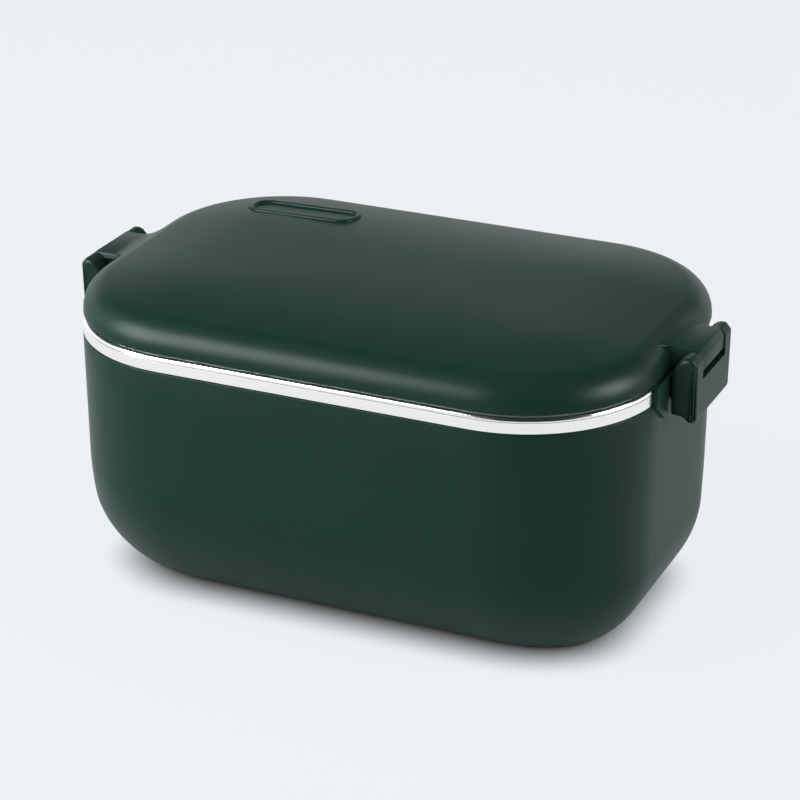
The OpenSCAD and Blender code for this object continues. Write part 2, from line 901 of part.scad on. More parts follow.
module steam_stopper() {
    color(silicone_green) at_band() translate([vent_x, vent_y, vent_z]) rotate([-vent_lean, 0, 0]) {
        difference() {
            translate([0, 0, -vent_pocket]) {
                round_plate(vent_l, vent_w, vent_corner_r, vent_pocket + vent_rim_h);
            }
            translate([0, 0, -0.2]) {
                round_plate(vent_l - 2 * vent_rim_w, vent_w - 2 * vent_rim_w,
                            vent_corner_r - vent_rim_w, vent_rim_h + 1);
            }
        }
        translate([0, 0, -vent_pocket - vent_plug_len]) {
            cylinder(h = vent_plug_len + 0.2, r = vent_plug_r);
        }
    }
}

// Latches

// Side outline of a latch
module latch_side() {
    r = 3.4;
    polygon([
        [latch_in, latch_low + 2.6], [latch_in, latch_top - 7],
        [latch_in + 2, latch_top - 3], [latch_in + 5, latch_top],
        [latch_out - r, latch_top], [latch_out, latch_top - r],
        [latch_out, latch_low], [plate_in, latch_low],
        [plate_in - 1.5, latch_low + 2.6]
    ]);
    translate([latch_out - r, latch_top - r]) circle(r = r);
}

module latch() {
    half = latch_w / 2;
    intersection() {
        difference() {
            union() {
                // Cheeks
                for (sy = [-1, 1]) {
                    translate([0, sy > 0 ? half : -half + cheek_t, 0]) rotate([90, 0, 0]) {
                        linear_extrude(cheek_t) latch_side();
                    }
                }
                // Lugs round the pin
                for (sy = [-1, 1]) {
                    translate([0, sy > 0 ? half - 1 : -arm_in, 0]) rotate([90, 0, 0]) {
                        linear_extrude(half - 1 - arm_in) intersection() {
                            latch_side();
                            translate([latch_in, lug_low]) square([latch_depth, 20]);
                        }
                    }
                }
                // Outer plate with its open notch
                translate([plate_in, -half, latch_low]) {
                    cube([latch_plate_t, latch_w, notch_z - latch_low]);
                }
                // Hook under the catch lip
                translate([lip_x + fit, -lip_w / 2, hook_top - hook_h]) {
                    cube([plate_in - lip_x - fit + cut, lip_w, hook_h]);
                }
            }
            rod_y(-pin_half - bore_fit, pin_half + bore_fit, pin_x, pin_z, pin_r + bore_fit);
        }
        // Front outline: narrower below, round corners
        translate([latch_in - cut, 0, 0]) rotate([90, 0, 90]) linear_extrude(latch_depth + 2 * cut) {
            latch_front();
        }
    }
}

module latch_front() {
    top_half = latch_w / 2;
    low_half = (latch_w - latch_taper) / 2;
    r = 2.5;
    polygon([
        [-low_half + r, latch_low], [low_half - r, latch_low], [low_half, latch_low + r],
        [top_half, latch_top - r], [top_half - r, latch_top], [-top_half + r, latch_top],
        [-top_half, latch_top - r], [-low_half, latch_low + r]
    ]);
    for (s = [-1, 1]) {
        translate([s * (low_half - r), latch_low + r]) circle(r = r);
        translate([s * (top_half - r), latch_top - r]) circle(r = r);
    }
}

module latch_left() {
    color(green) at_band() at_end(-1) latch();
}

module latch_right() {
    color(green) at_band() at_end(1) latch();
}

module latch_pin(side) {
    color(steel) at_band() at_end(side) rod_y(-pin_half, pin_half, pin_x, pin_z, pin_r);
}

// Power inlet and indicator

module inlet_housing() {
    face = niche_y + flange_t;
    color(black) at_band() difference() {
        union() {
            translate([-flange_w / 2, niche_y, inlet_z - flange_h / 2]) {
                cube([flange_w, flange_t, flange_h]);
            }
            translate([-housing_w / 2, face - housing_d, inlet_z - housing_h / 2]) {
                cube([housing_w, housing_d - flange_t / 2, housing_h]);
            }
        }
        // Well with round ends
        translate([0, face + cut, inlet_z]) rotate([90, 0, 0]) linear_extrude(well_d + cut) {
            square([contact_pitch, well_h], center = true);
            for (s = [-1, 1]) {
                translate([s * contact_pitch / 2, 0]) circle(r = well_h / 2);
            }
        }
        for (s = [-1, 1]) {
            rod_y(face - housing_d - cut, face - well_d + cut, s * contact_pitch / 2, inlet_z,
                  contact_root_r + bore_fit);
            rod_y(niche_y - cut, face + cut, s * inlet_screw_x, inlet_z, small_screw_r + fit);
            rod_y(face - 0.9, face + cut, s * inlet_screw_x, inlet_z, 2 * small_screw_r + fit);
        }
    }
}

module inlet_contacts() {
    face = niche_y + flange_t;
    color(brass) at_band() for (s = [-1, 1]) {
        rod_y(contact_tail, face - well_d, s * contact_pitch / 2, inlet_z, contact_root_r);
        rod_y(face - well_d, face - 1, s * contact_pitch / 2, inlet_z, contact_r);
    }
}

module inlet_screws() {
    face = niche_y + flange_t;
    color(steel) at_band() for (s = [-1, 1]) {
        rod_y(face - 0.9, face - 0.1, s * inlet_screw_x, inlet_z, 2 * small_screw_r);
        rod_y(niche_y - 4, face - 0.5, s * inlet_screw_x, inlet_z, small_screw_r);
    }
}

module inlet_cover() {
    color(silicone_green) at_band() difference() {
        union() {
            translate([-flap_w / 2, flap_axis_y - flap_t / 2, flap_low]) {
                cube([flap_w, flap_t, flap_axis_z - flap_low]);
            }
            rod_x(-flap_w / 2, flap_w / 2, flap_axis_y, flap_axis_z, flap_t / 2);
        }
        rod_x(-flap_w / 2 - cut, flap_w / 2 + cut, flap_axis_y, flap_axis_z, flap_pin_r + bore_fit);
        // Finger groove along the lower edge
        rod_x(-8, 8, flap_axis_y + flap_t / 2 + 0.8, flap_low + 3, 1.4);
    }
}

module inlet_cover_pin() {
    color(steel) at_band() {
        rod_x(-niche_w / 2 - 1.5, niche_w / 2 + 1.5, flap_axis_y, flap_axis_z, flap_pin_r);
    }
}

module indicator_lens() {
    color("#d8502c") at_band() {
        rod_y(lens_y - shell_t - 1, lens_y + 0.3, 0, lens_z, lens_r);
        rod_y(lens_y - shell_t - 1.2, lens_y - shell_t - 0.1, 0, lens_z, lens_r + 1);
    }
}

module indicator_board() {
    back = lens_y - shell_t - 1.2;
    color("#2f6b3c") at_band() {
        translate([-5, back - 3.2, lens_z - 4]) cube([10, 1.2, 8]);
        rod_y(back - 2.5, back - 0.1, 0, lens_z, 1.4);
    }
}

// Wires, from the inlet's contacts through thermostat and fuse to the heater

module wire_live() {
    start = [contact_pitch / 2, contact_tail - 0.1, inlet_z];
    end = [thermostat_x, thermostat_y + blade_y + blade_t / 2 + wire_r, blade_z];
    color("#6b3b24") at_band() wire(concat([start], smooth([
        start + [0, -1, 0], start + [0, -4, 0], 0.5 * (start + end) + [-2, 6, -1], end + [-5, 9, 0],
        end + [0, 4, 0], end
    ])));
}

module wire_fuse() {
    start = [thermostat_x, thermostat_y - blade_y - blade_t / 2 - wire_r, blade_z];
    end = [fuse_x + fuse_len / 2 + lead_len, fuse_y, fuse_z];
    color("#6b3b24") at_band() wire(smooth([
        start, start + [0, -4, 0], start + [10, -6, 0], start + [14, 12, 0], end + [25, 2, -6],
        end + [8, 1, -2], end + [3, 0, 0], end
    ]));
}

module wire_heater() {
    start = [fuse_x - fuse_len / 2 - lead_len - 0.05, fuse_y, fuse_z];
    end = [heater_end, heater_y + heater_blade_y, heater_z + heater_t / 2];
    color("#6b3b24") at_band() wire(smooth([
        start, start + [-4, 0, 0], start + [-5.5, -2, -7], start + [10.5, -8, -7],
        end + [1, 6, -2], end
    ]));
}

module wire_neutral() {
    start = [-contact_pitch / 2, contact_tail - 0.1, inlet_z];
    end = [heater_end, heater_y - heater_blade_y, heater_z + heater_t / 2];
    under = [heater_x, heater_y, heater_z - 6];
    color("#3d5f9e") at_band() wire(concat([start], smooth([
        start + [0, -1, 0], start + [0, -6, 0], under + [2, 28, 0], under + [12, 6, 0],
        under + [30, -8, 3], end + [2, 0, -2], end
    ])));
}

outer_shell();
steel_liner();
food_container();
bottom_cover();
bottom_screws();
foot(-1, -1);  // foot_front_left
foot(1, -1);  // foot_front_right
foot(-1, 1);  // foot_back_left
foot(1, 1);  // foot_back_right
heating_plate();
ptc_heater();
heater_clamp();
heater_screws();
thermostat();
thermal_fuse();
fuse_clip();
insulation_pad();
wire_live();
wire_fuse();
wire_heater();
wire_neutral();
inlet_housing();
inlet_contacts();
inlet_screws();
inlet_cover();
inlet_cover_pin();
indicator_lens();
indicator_board();
lid_shell();
lid_inner_cover();
lid_seal();
steam_stopper();
latch_left();
latch_right();
latch_pin(-1);  // latch_pin_left
latch_pin(1);  // latch_pin_right
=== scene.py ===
"""Looks of the electric lunch box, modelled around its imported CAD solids.

Sizes are in millimetres from the lower edge of the steel band, as in the CAD source, and Blender gets them in
metres. The right end points along +X and the front wall along -Y.
"""

import logging
import math
from collections.abc import Callable, Sequence
from dataclasses import dataclass
from enum import Enum

import bmesh
import bpy
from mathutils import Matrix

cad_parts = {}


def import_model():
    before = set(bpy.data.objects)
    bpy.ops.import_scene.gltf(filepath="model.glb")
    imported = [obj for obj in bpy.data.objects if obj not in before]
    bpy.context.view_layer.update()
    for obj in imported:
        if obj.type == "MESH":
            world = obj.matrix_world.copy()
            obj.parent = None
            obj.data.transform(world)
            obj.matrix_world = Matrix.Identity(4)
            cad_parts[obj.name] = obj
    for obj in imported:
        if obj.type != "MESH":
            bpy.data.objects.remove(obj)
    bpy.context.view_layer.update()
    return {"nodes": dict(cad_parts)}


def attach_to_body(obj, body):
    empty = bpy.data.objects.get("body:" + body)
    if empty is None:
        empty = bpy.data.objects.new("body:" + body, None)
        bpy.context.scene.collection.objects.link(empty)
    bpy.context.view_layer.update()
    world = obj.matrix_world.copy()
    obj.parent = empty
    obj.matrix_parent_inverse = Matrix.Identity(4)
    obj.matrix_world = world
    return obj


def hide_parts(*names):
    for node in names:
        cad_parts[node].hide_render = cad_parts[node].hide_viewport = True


MM = 0.001
# Height of the band's lower edge over the table, in mm
BAND_Z = 102.042
# How near two heights are when they count as one, in metres
NEAR = MM / 100

Point = tuple[float, float, float]
Spot = tuple[float, float]
Piece = bpy.types.Object
Tree = bpy.types.NodeTree
Socket = bpy.types.NodeSocket

log = logging.getLogger("lunch_box")


class End(Enum):
    """The two short ends of the box."""

    LEFT = -1
    RIGHT = 1


class Use(Enum):
    """What a soft box is for: lighting the colours, or showing in the glossy surfaces."""

    LIGHT = "light"
    SHEEN = "sheen"


class Join(Enum):
    """What a second solid does to a first one."""

    ADD = "UNION"
    CUT = "DIFFERENCE"
    KEEP = "INTERSECT"


# Hand tools


def in_metres(point: Sequence[float]) -> tuple[float, ...]:
    """Returns a point or a step given in mm in metres."""
    return tuple(value * MM for value in point)


def deselect() -> None:
    """Leaves edit mode and deselects every object."""
    if bpy.context.mode != "OBJECT":
        bpy.ops.object.mode_set(mode="OBJECT")
    bpy.ops.object.select_all(action="DESELECT")


def choose(*pieces: Piece) -> None:
    """Selects only the given objects and makes the first one active.

    Args:
        pieces: The objects, the active one first.
    """
    deselect()
    for piece in pieces:
        piece.select_set(True)
    bpy.context.view_layer.objects.active = pieces[0]


def edit(piece: Piece) -> None:
    """Opens a piece in edit mode with all of it selected."""
    choose(piece)
    bpy.ops.object.mode_set(mode="EDIT")
    bpy.ops.mesh.select_all(action="SELECT")


def pick(piece: Piece, kind: str, wanted: Callable) -> None:
    """Selects the corners, edges or faces that pass a test, in edit mode.

    Args:
        piece: The mesh that is open in edit mode.
        kind: VERT, EDGE or FACE.
        wanted: Tells whether one item is selected.
    """
    bpy.ops.mesh.select_mode(type=kind)
    mesh = bmesh.from_edit_mesh(piece.data)
    items = {"VERT": mesh.verts, "EDGE": mesh.edges, "FACE": mesh.faces}[kind]
    for face in mesh.faces:
        face.select_set(False)
    for edge in mesh.edges:
        edge.select_set(False)
    for vert in mesh.verts:
        vert.select_set(False)
    for item in items:
        if wanted(item):
            item.select_set(True)
    bmesh.update_edit_mesh(piece.data)


def extend(step: Sequence[float]) -> None:
    """Extrudes what is selected by a step in mm."""
    bpy.ops.mesh.extrude_region_move(TRANSFORM_OT_translate={"value": in_metres(step)})


def named(name: str) -> Piece:
    """Gives the newest object and its mesh a name, and returns it."""
    piece = bpy.context.active_object
    piece.name = name
    piece.data.name = name
    return piece


def leave_edit() -> None:
    """Goes back to object mode."""
    bpy.ops.object.mode_set(mode="OBJECT")


def draw(name: str, points: Sequence[Point], closed: bool = False) -> Piece:
    """Draws a line through points, from one corner extruded again and again.

    Args:
        name: Name of the new object.
        points: The corners, in mm.
        closed: Whether the line ends where it starts.

    Returns:
        The object, in edit mode with the whole line selected.
    """
    deselect()
    bpy.ops.mesh.primitive_plane_add(size=MM)
    piece = named(name)
    bpy.ops.object.mode_set(mode="EDIT")
    bpy.ops.mesh.select_mode(type="VERT")
    bpy.ops.mesh.select_all(action="SELECT")
    bpy.ops.mesh.merge(type="CENTER")
    bpy.ops.transform.translate(value=in_metres(points[0]))
    stops = list(points) + ([points[0]] if closed else [])
    for here, there in zip(stops, stops[1:]):
        extend([b - a for a, b in zip(here, there)])
    bpy.ops.mesh.select_all(action="SELECT")
    if closed:
        bpy.ops.mesh.remove_doubles(threshold=MM / 1000)
    return piece


@dataclass(frozen=True)
class Outline:
    """A rectangle with round corners, as the places of its corners' axes.

    Attributes:
        axis_x: Distance of the corner axes from the middle along X.
        axis_y: Distance of the corner axes from the middle along Y.
        corner_steps: Facets in each corner.
        side_steps: Facets along each straight side.
    """

    axis_x: float
    axis_y: float
    corner_steps: int = 20
    side_steps: int = 4

    def sweep(self, name: str, path: Sequence[Spot], closed: bool = False) -> Piece:
        """Carries a section round the outline.

        Args:
            name: Name of the new object.
            path: The section, as distance from the corner axis and height.
            closed: Whether the section is a closed ring.

        Returns:
            The object, in edit mode with all of it selected.
        """
        x, y = self.axis_x, self.axis_y
        piece = draw(name, [(x + out, y, BAND_Z + up) for out, up in path], closed)
        runs = (((x, y), (-2 * x, 0)), ((-x, y), (0, -2 * y)), ((-x, -y), (2 * x, 0)), ((x, -y), (0, 2 * y)))
        for axis, run in runs:
            bpy.ops.mesh.spin(
                steps=self.corner_steps, angle=-math.pi / 2, center=in_metres((*axis, 0)), axis=(0, 0, 1)
            )
            for _ in range(self.side_steps):
                extend((run[0] / self.side_steps, run[1] / self.side_steps, 0))
        bpy.ops.mesh.select_all(action="SELECT")
        bpy.ops.mesh.remove_doubles(threshold=MM / 200)
        return piece

    def solid(self, name: str, path: Sequence[Spot]) -> Piece:
        """Carries a section round the outline and closes it at its two end heights."""
        piece = self.sweep(name, path)
        seal(piece, path[0][1], path[-1][1])
        return piece


def arc(centre: Spot, radius: float, start: float, stop: float, steps: int) -> list[Spot]:
    """Gives the points of an arc of a section, both ends included, from angle to angle in degrees."""
    turns = [math.radians(start + (stop - start) * k / steps) for k in range(steps + 1)]
    return [(centre[0] + radius * math.cos(t), centre[1] + radius * math.sin(t)) for t in turns]


def pick_ring(piece: Piece, height: float) -> None:
    """Selects the open ring at a height in mm from the band's lower edge, in edit mode."""
    level = (BAND_Z + height) * MM
    pick(piece, "EDGE", lambda e: e.is_boundary and all(abs(v.co.z - level) < NEAR for v in e.verts))


def fill_ring(piece: Piece, height: float) -> None:
    """Closes the open ring at a height in mm from the band's lower edge, in edit mode."""
    pick_ring(piece, height)
    bpy.ops.mesh.edge_face_add()


def turn_faces_out() -> None:
    """Makes the faces of a closed mesh point outwards, in edit mode."""
    bpy.ops.mesh.select_all(action="SELECT")
    bpy.ops.mesh.normals_make_consistent(inside=False)


def seal(piece: Piece, *heights: float) -> None:
    """Closes open rings of a mesh, turns its faces outwards and leaves edit mode.

    Args:
        piece: The mesh that is open in edit mode.
        heights: Heights of the rings in mm from the band's lower edge.
    """
    for height in heights:
        fill_ring(piece, height)
    turn_faces_out()
    leave_edit()


def face_up(piece: Piece, find: Callable = min) -> None:
    """Makes the faces of an open form agree, with its lowest or highest face looking up, in edit mode.

    Args:
        piece: The mesh that is open in edit mode.
        find: min for the lowest face, max for the highest.
    """
    turn_faces_out()
    mesh = bmesh.from_edit_mesh(piece.data)
    level_face = find(mesh.faces, key=lambda f: f.calc_center_median().z)
    if level_face.normal.z < 0:
        bpy.ops.mesh.flip_normals()


def scale_layers(piece: Piece, axis: int, share: Callable[[float], float]) -> None:
    """Widens or narrows a piece along Y, each layer of its corners by its place.

    Args:
        piece: The piece, with Y = 0 in its middle.
        axis: 0 for layers along X, 2 for layers along Z.
        share: Gives a layer's factor by its place in mm.
    """
    edit(piece)
    for level in sorted({round(v.co[axis] / MM, 3) for v in bmesh.from_edit_mesh(piece.data).verts}):
        if share(level) != 1:
            pick(piece, "VERT", lambda v: abs(v.co[axis] / MM - level) < 0.01)
            bpy.ops.transform.resize(value=(1, share(level), 1), center_override=(0, 0, 0))
    leave_edit()


def change(piece: Piece, kind: str, **settings: object) -> None:
    """Adds a modifier and applies it.

    Args:
        piece: The object it changes.
        kind: Blender's name of the modifier.
        settings: The modifier's values.
    """
    choose(piece)
    modifier = piece.modifiers.new(kind.lower(), kind)
    for key, value in settings.items():
        setattr(modifier, key, value)
    bpy.ops.object.modifier_apply(modifier=modifier.name)


def soften(piece: Piece, width: float, steps: int = 3, over: float = 40) -> None:
    """Rounds edges sharper than an angle in degrees, by a width in mm and so many facets across."""
    change(
        piece, "BEVEL", width=width * MM, segments=steps, limit_method="ANGLE",
        angle_limit=math.radians(over), use_clamp_overlap=True, harden_normals=False,
    )


def thicken(piece: Piece, wall: float) -> None:
    """Gives a skin a wall in mm behind its faces."""
    change(piece, "SOLIDIFY", thickness=wall * MM, offset=-1, use_even_offset=True)


def merge(piece: Piece, tool: Piece, join: Join) -> None:
    """Adds a second solid to a first one, or cuts with it, and removes the second."""
    change(piece, "BOOLEAN", object=tool, operation=join.value, solver="EXACT")
    bpy.data.meshes.remove(tool.data)


def attach(piece: Piece, *others: Piece) -> None:
    """Joins further meshes to a piece as they are."""
    choose(piece, *others)
    bpy.ops.object.join()


def smooth(piece: Piece, under: float = 32) -> None:
    """Shades a piece smooth where its faces meet at less than an angle in degrees."""
    choose(piece)
    bpy.ops.object.shade_smooth_by_angle(angle=math.radians(under))


def place(piece: Piece, at: Sequence[float] = (0, 0, 0), turn: Sequence[float] = (0, 0, 0)) -> None:
    """Turns and moves a piece, and puts its place into its mesh.

    Args:
        piece: The object.
        at: Where its origin goes, in mm.
        turn: Turns about X, Y and Z in degrees.
    """
    choose(piece)
    piece.rotation_euler = [math.radians(value) for value in turn]
    piece.location = in_metres(at)
    bpy.ops.object.transform_apply(location=True, rotation=True, scale=True)


def to_end(piece: Piece, end: End) -> None:
    """Turns a piece that is made at the right end round to the end it belongs to."""
    if end is End.LEFT:
        place(piece, turn=(0, 0, 180))


def copy(piece: Piece, name: str) -> Piece:
    """Copies a piece with its own mesh and gives the copy a name."""
    choose(piece)
    bpy.ops.object.duplicate(linked=False)
    return named(name)


def block(name: str, low: Point, high: Point) -> Piece:
    """Adds a square block between two corners, as a start or a cutter.

    Args:
        name: Its name.
        low: Lowest corner in mm from the band's lower edge.
        high: Highest corner.

    Returns:
        The block, with its place in its mesh.
    """
    deselect()
    middle = [(a + b) / 2 for a, b in zip(low, high)]
    size = [b - a for a, b in zip(low, high)]
    bpy.ops.mesh.primitive_cube_add(size=1)
    piece = named(name)
    piece.scale = in_metres(size)
    place(piece, (middle[0], middle[1], middle[2] + BAND_Z))
    return piece


def rod(name: str, start: Point, axis: str, length: float, radius: float, facets: int = 32) -> Piece:
    """Adds a round rod along X, Y or Z.

    Args:
        name: Its name.
        start: Middle of its first end in mm from the band's lower edge.
        axis: The direction it runs in.
        length: Its length.
        radius: Its radius.
        facets: Facets round it.

    Returns:
        The rod, with its place in its mesh.
    """
    deselect()
    bpy.ops.mesh.primitive_cylinder_add(vertices=facets, radius=radius * MM, depth=length * MM)
    piece = named(name)
    turn = {"X": (0, 90, 0), "Y": (90, 0, 0), "Z": (0, 0, 0)}[axis]
    shift = {"X": (length / 2, 0, 0), "Y": (0, length / 2, 0), "Z": (0, 0, length / 2)}[axis]
    place(piece, [a + b for a, b in zip((start[0], start[1], start[2] + BAND_Z), shift)], turn)
    return piece


def slab(name: str, points: Sequence[Point], step: Point) -> Piece:
    """Draws a flat outline, fills it and extrudes it to a solid.

    Args:
        name: Its name.
        points: The outline in mm from the band's lower edge.
        step: The way it is extruded, in mm.

    Returns:
        The solid.
    """
    piece = draw(name, [(x, y, z + BAND_Z) for x, y, z in points], closed=True)
    bpy.ops.mesh.edge_face_add()
    extend(step)
    seal(piece)
    return piece


# Finishes


def linear(colour: str) -> tuple[float, float, float, float]:
    """Turns an sRGB hex colour to linear red, green, blue and alpha."""
    parts = [int(colour[k : k + 2], 16) / 255 for k in (1, 3, 5)]
    return (*(p / 12.92 if p <= 0.04045 else ((p + 0.055) / 1.055) ** 2.4 for p in parts), 1.0)


def add_node(
    tree: Tree, kind: str, settings: dict | None = None, **sockets: object
) -> bpy.types.Node:
    """Adds a node with its settings and links.

    Args:
        tree: The node tree.
        kind: Blender's name of the node.
        settings: Properties of the node.
        sockets: Values or output sockets by the input's name, with _ for a space, or by i and its number.

    Returns:
        The node.
    """
    node = tree.nodes.new(kind)
    for key, value in (settings or {}).items():
        setattr(node, key, value)
    for key, value in sockets.items():
        socket = node.inputs[int(key[1:])] if key[1:].isdigit() else node.inputs[key.replace("_", " ")]
        if isinstance(value, Socket):
            tree.links.new(value, socket)
        else:
            socket.default_value = value
    return node


def remap(
    tree: Tree, value: Socket, source: Spot, target: Spot, curve: str = "LINEAR"
) -> Socket:
    """Maps a value from a source range to a target range, by a line or a curve such as SMOOTHSTEP."""
    return add_node(
        tree, "ShaderNodeMapRange", {"interpolation_type": curve}, Value=value, From_Min=source[0],
        From_Max=source[1], To_Min=target[0], To_Max=target[1],
    ).outputs["Result"]


def maths(tree: Tree, operation: str, first: object, second: object) -> Socket:
    """Joins two values or sockets by an operation and gives the result's socket."""
    return add_node(tree, "ShaderNodeMath", {"operation": operation}, i0=first, i1=second).outputs[0]


def new_material(name: str) -> bpy.types.Material:
    """Makes a material with nodes."""
    material = bpy.data.materials.new(name)
    material.use_nodes = True
    return material


# How many times to the metre the slow drift turns, for blotches of 40 mm
DRIFT_SCALE = 25.0
# Share by which the roughness drifts either way
GLOSS_DRIFT = 0.07
# Height of the surface grain in mm
GRAIN_HEIGHT = 0.05


@dataclass(frozen=True)
class Finish:
    """A finish: the real material's name, its colour and the look of its surface.

    Attributes:
        name: Name of the real material.
        colour: Its colour, sRGB hex.
        roughness: Middle of its roughness.
        metallic: 1 for a bare metal.
        specular: The shader's specular level.
        grain: Size of its surface grain in mm, 0 for none.
        grain_depth: Strength of that grain's bump.
        drift: How far the colour drifts over the piece, 0 to 1.
        stretch: How much longer the grain is along X, Y and Z.
        coat: Weight of a clear glossy layer.
        transmission: 1 for a clear material.
    """

    name: str
    colour: str
    roughness: float = 0.4
    metallic: float = 0.0
    specular: float = 0.5
    grain: float = 0.3
    grain_depth: float = 0.1
    drift: float = 0.06
    stretch: Point = (1, 1, 1)
    coat: float = 0.0
    transmission: float = 0.0

    def make(self) -> bpy.types.Material:
        """Builds the material.

        Returns:
            The material.
        """
        material = new_material(self.name)
        tree = material.node_tree
        shader = tree.nodes["Principled BSDF"]
        spot = add_node(tree, "ShaderNodeTexCoord").outputs["Object"]
        # Slow drift of the colour and of the gloss, as in any moulded or rolled part
        cloud = add_node(
            tree, "ShaderNodeTexNoise", Vector=spot, Scale=DRIFT_SCALE, Detail=3.0
        ).outputs["Fac"]
        shade = remap(tree, cloud, (0, 1), (1 - self.drift, 1 + self.drift))
        multiply = {"data_type": "RGBA", "blend_type": "MULTIPLY"}
        base = add_node(tree, "ShaderNodeMix", multiply, i0=1.0, i6=linear(self.colour), i7=shade).outputs[2]
        tree.links.new(base, shader.inputs["Base Color"])
        gloss = (self.roughness * (1 - GLOSS_DRIFT), self.roughness * (1 + GLOSS_DRIFT))
        tree.links.new(remap(tree, cloud, (0, 1), gloss), shader.inputs["Roughness"])
        if self.grain > 0:
            thin = tuple(1 / s for s in self.stretch)
            stretched = add_node(tree, "ShaderNodeMapping", i1=(0, 0, 0), i3=thin, Vector=spot).outputs[0]
            fine = add_node(
                tree, "ShaderNodeTexNoise", Vector=stretched, Scale=1 / (self.grain * MM), Detail=2.0
            ).outputs["Fac"]
            bump = add_node(
                tree, "ShaderNodeBump", Strength=self.grain_depth, Distance=GRAIN_HEIGHT * MM, Height=fine
            )
            tree.links.new(bump.outputs["Normal"], shader.inputs["Normal"])
        shader.inputs["Metallic"].default_value = self.metallic
        if self.metallic == 0:
            shader.inputs["Specular IOR Level"].default_value = self.specular
        shader.inputs["Coat Weight"].default_value = self.coat
        shader.inputs["Transmission Weight"].default_value = self.transmission
        return material


class Shelf:
    """Every finish of the lunch box, made once and handed out by slot name."""

    finishes = {
        # Satin moulded polypropylene: deep green, a broad soft sheen and a very fine spark-eroded grain
        "shell_plastic": Finish(
            "satin_moulded_polypropylene", "#1D3F33", 0.38, specular=0.09,
            grain=0.25, grain_depth=0.22, drift=0.05
        ),
        # Moulded ABS of the latches: nearly the shell's green, with the same satin gloss
        "latch_plastic": Finish(
            "moulded_abs_green", "#1E3B31", 0.38, specular=0.1, grain=0.25, grain_depth=0.18, drift=0.05
        ),
        # Polished stainless sheet: bright, with faint lines that run along the band
        "polished_steel": Finish(
            "polished_stainless_sheet", "#FAF8F5", 0.15, metallic=1,
            grain=0.12, grain_depth=0.03, drift=0.02, stretch=(40, 40, 1)
        ),
        # Brushed stainless of the drawn container
        "brushed_steel": Finish(
            "brushed_stainless_sheet", "#C9C7C3", 0.27, metallic=1,
            grain=0.15, grain_depth=0.08, drift=0.03, stretch=(30, 30, 1)
        ),
        # Black moulded polypropylene of the underside
        "bottom_plastic": Finish(
            "matte_moulded_polypropylene", "#1B1D1E", 0.52, specular=0.4, grain=0.4, grain_depth=0.35
        ),
        # Zinc-plated screws and pins
        "fastener_steel": Finish(
            "zinc_plated_steel", "#B9BBBD", 0.3, metallic=1, grain=0.2, grain_depth=0.12
        ),
        # Moulded silicone rubber feet
        "foot_rubber": Finish(
            "matte_silicone_rubber", "#2A2B2C", 0.7, specular=0.3, grain=0.3, grain_depth=0.2
        ),
        # Pressed and rolled aluminium of the heating plate
        "heater_aluminium": Finish(
            "rolled_aluminium", "#C3C5C7", 0.35, metallic=1, grain=0.2, grain_depth=0.2, stretch=(30, 1, 1)
        ),
        # Black ABS of the inlet, heat resistant and finely grained
        "inlet_plastic": Finish(
            "moulded_abs_black", "#151617", 0.4, specular=0.45, grain=0.3, grain_depth=0.25
        ),
        # Glazed steatite ceramic of the thermal fuse
        "fuse_ceramic": Finish("glazed_steatite", "#E6E1D6", 0.25, coat=0.4, grain=0.5, grain_depth=0.08),
        # Needled glass-fibre felt under the heater
        "pad_felt": Finish(
            "needled_fibre_felt", "#D9D4C6", 0.95, specular=0.1, grain=0.6, grain_depth=0.9, drift=0.12
        ),
        # Silicone insulation of the wires
        "wire_brown": Finish("silicone_wire_brown", "#6A4326", 0.45, grain=0.4, grain_depth=0.1),
        "wire_blue": Finish("silicone_wire_blue", "#2D5C9A", 0.45, grain=0.4, grain_depth=0.1),
        # Turned brass of the contact pins
        "contact_brass": Finish(
            "turned_brass", "#CDAE66", 0.22, metallic=1, grain=0.15, grain_depth=0.1, stretch=(1, 1, 8)
        ),
        # Moulded silicone of the stopper and of the inlet cover: darker than the shell, with coarser grain
        "silicone_green": Finish(
            "moulded_silicone_green", "#163A2F", 0.38, specular=0.1, grain=0.4, grain_depth=0.1
        ),
        # Clear amber polycarbonate of the lamp's lens
        "lens_amber": Finish("amber_polycarbonate", "#E0702A", 0.15, transmission=0.35, grain=0.0),
        # Fibre-glass board with a green solder mask
        "board_green": Finish("solder_masked_board", "#2C6E45", 0.35, coat=0.3, grain=0.5, grain_depth=0.1),
        # White polypropylene of the lid's inner cover
        "cover_plastic": Finish(
            "white_moulded_polypropylene", "#E3E3DE", 0.42, grain=0.3, grain_depth=0.15, drift=0.03
        ),
        # Translucent white silicone of the seal
        "seal_silicone": Finish(
            "white_silicone", "#DEDED8", 0.5, specular=0.35, grain=0.4, grain_depth=0.08, drift=0.03
        ),
    }

    def __init__(self) -> None:
        """Makes every finish."""
        self.made = {slot: finish.make() for slot, finish in self.finishes.items()}

    def dress(self, piece: Piece, slot: str) -> None:
        """Gives a piece the finish of one of the record's material slots."""
        piece.data.materials.clear()
        piece.data.materials.append(self.made[slot])


def present(piece: Piece, shelf: Shelf, slot: str, body: str, *nodes: str) -> None:
    """Dresses a new piece, hangs it on its body and hides the CAD nodes it stands for.

    Args:
        piece: The new piece.
        shelf: The finishes.
        slot: Its material slot.
        body: The CAD body it moves with.
        nodes: The CAD nodes it replaces.
    """
    shelf.dress(piece, slot)
    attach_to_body(piece, body)
    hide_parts(*nodes)
    log.info("%s: %d faces, %s", piece.name, len(piece.data.polygons), slot)


# The body


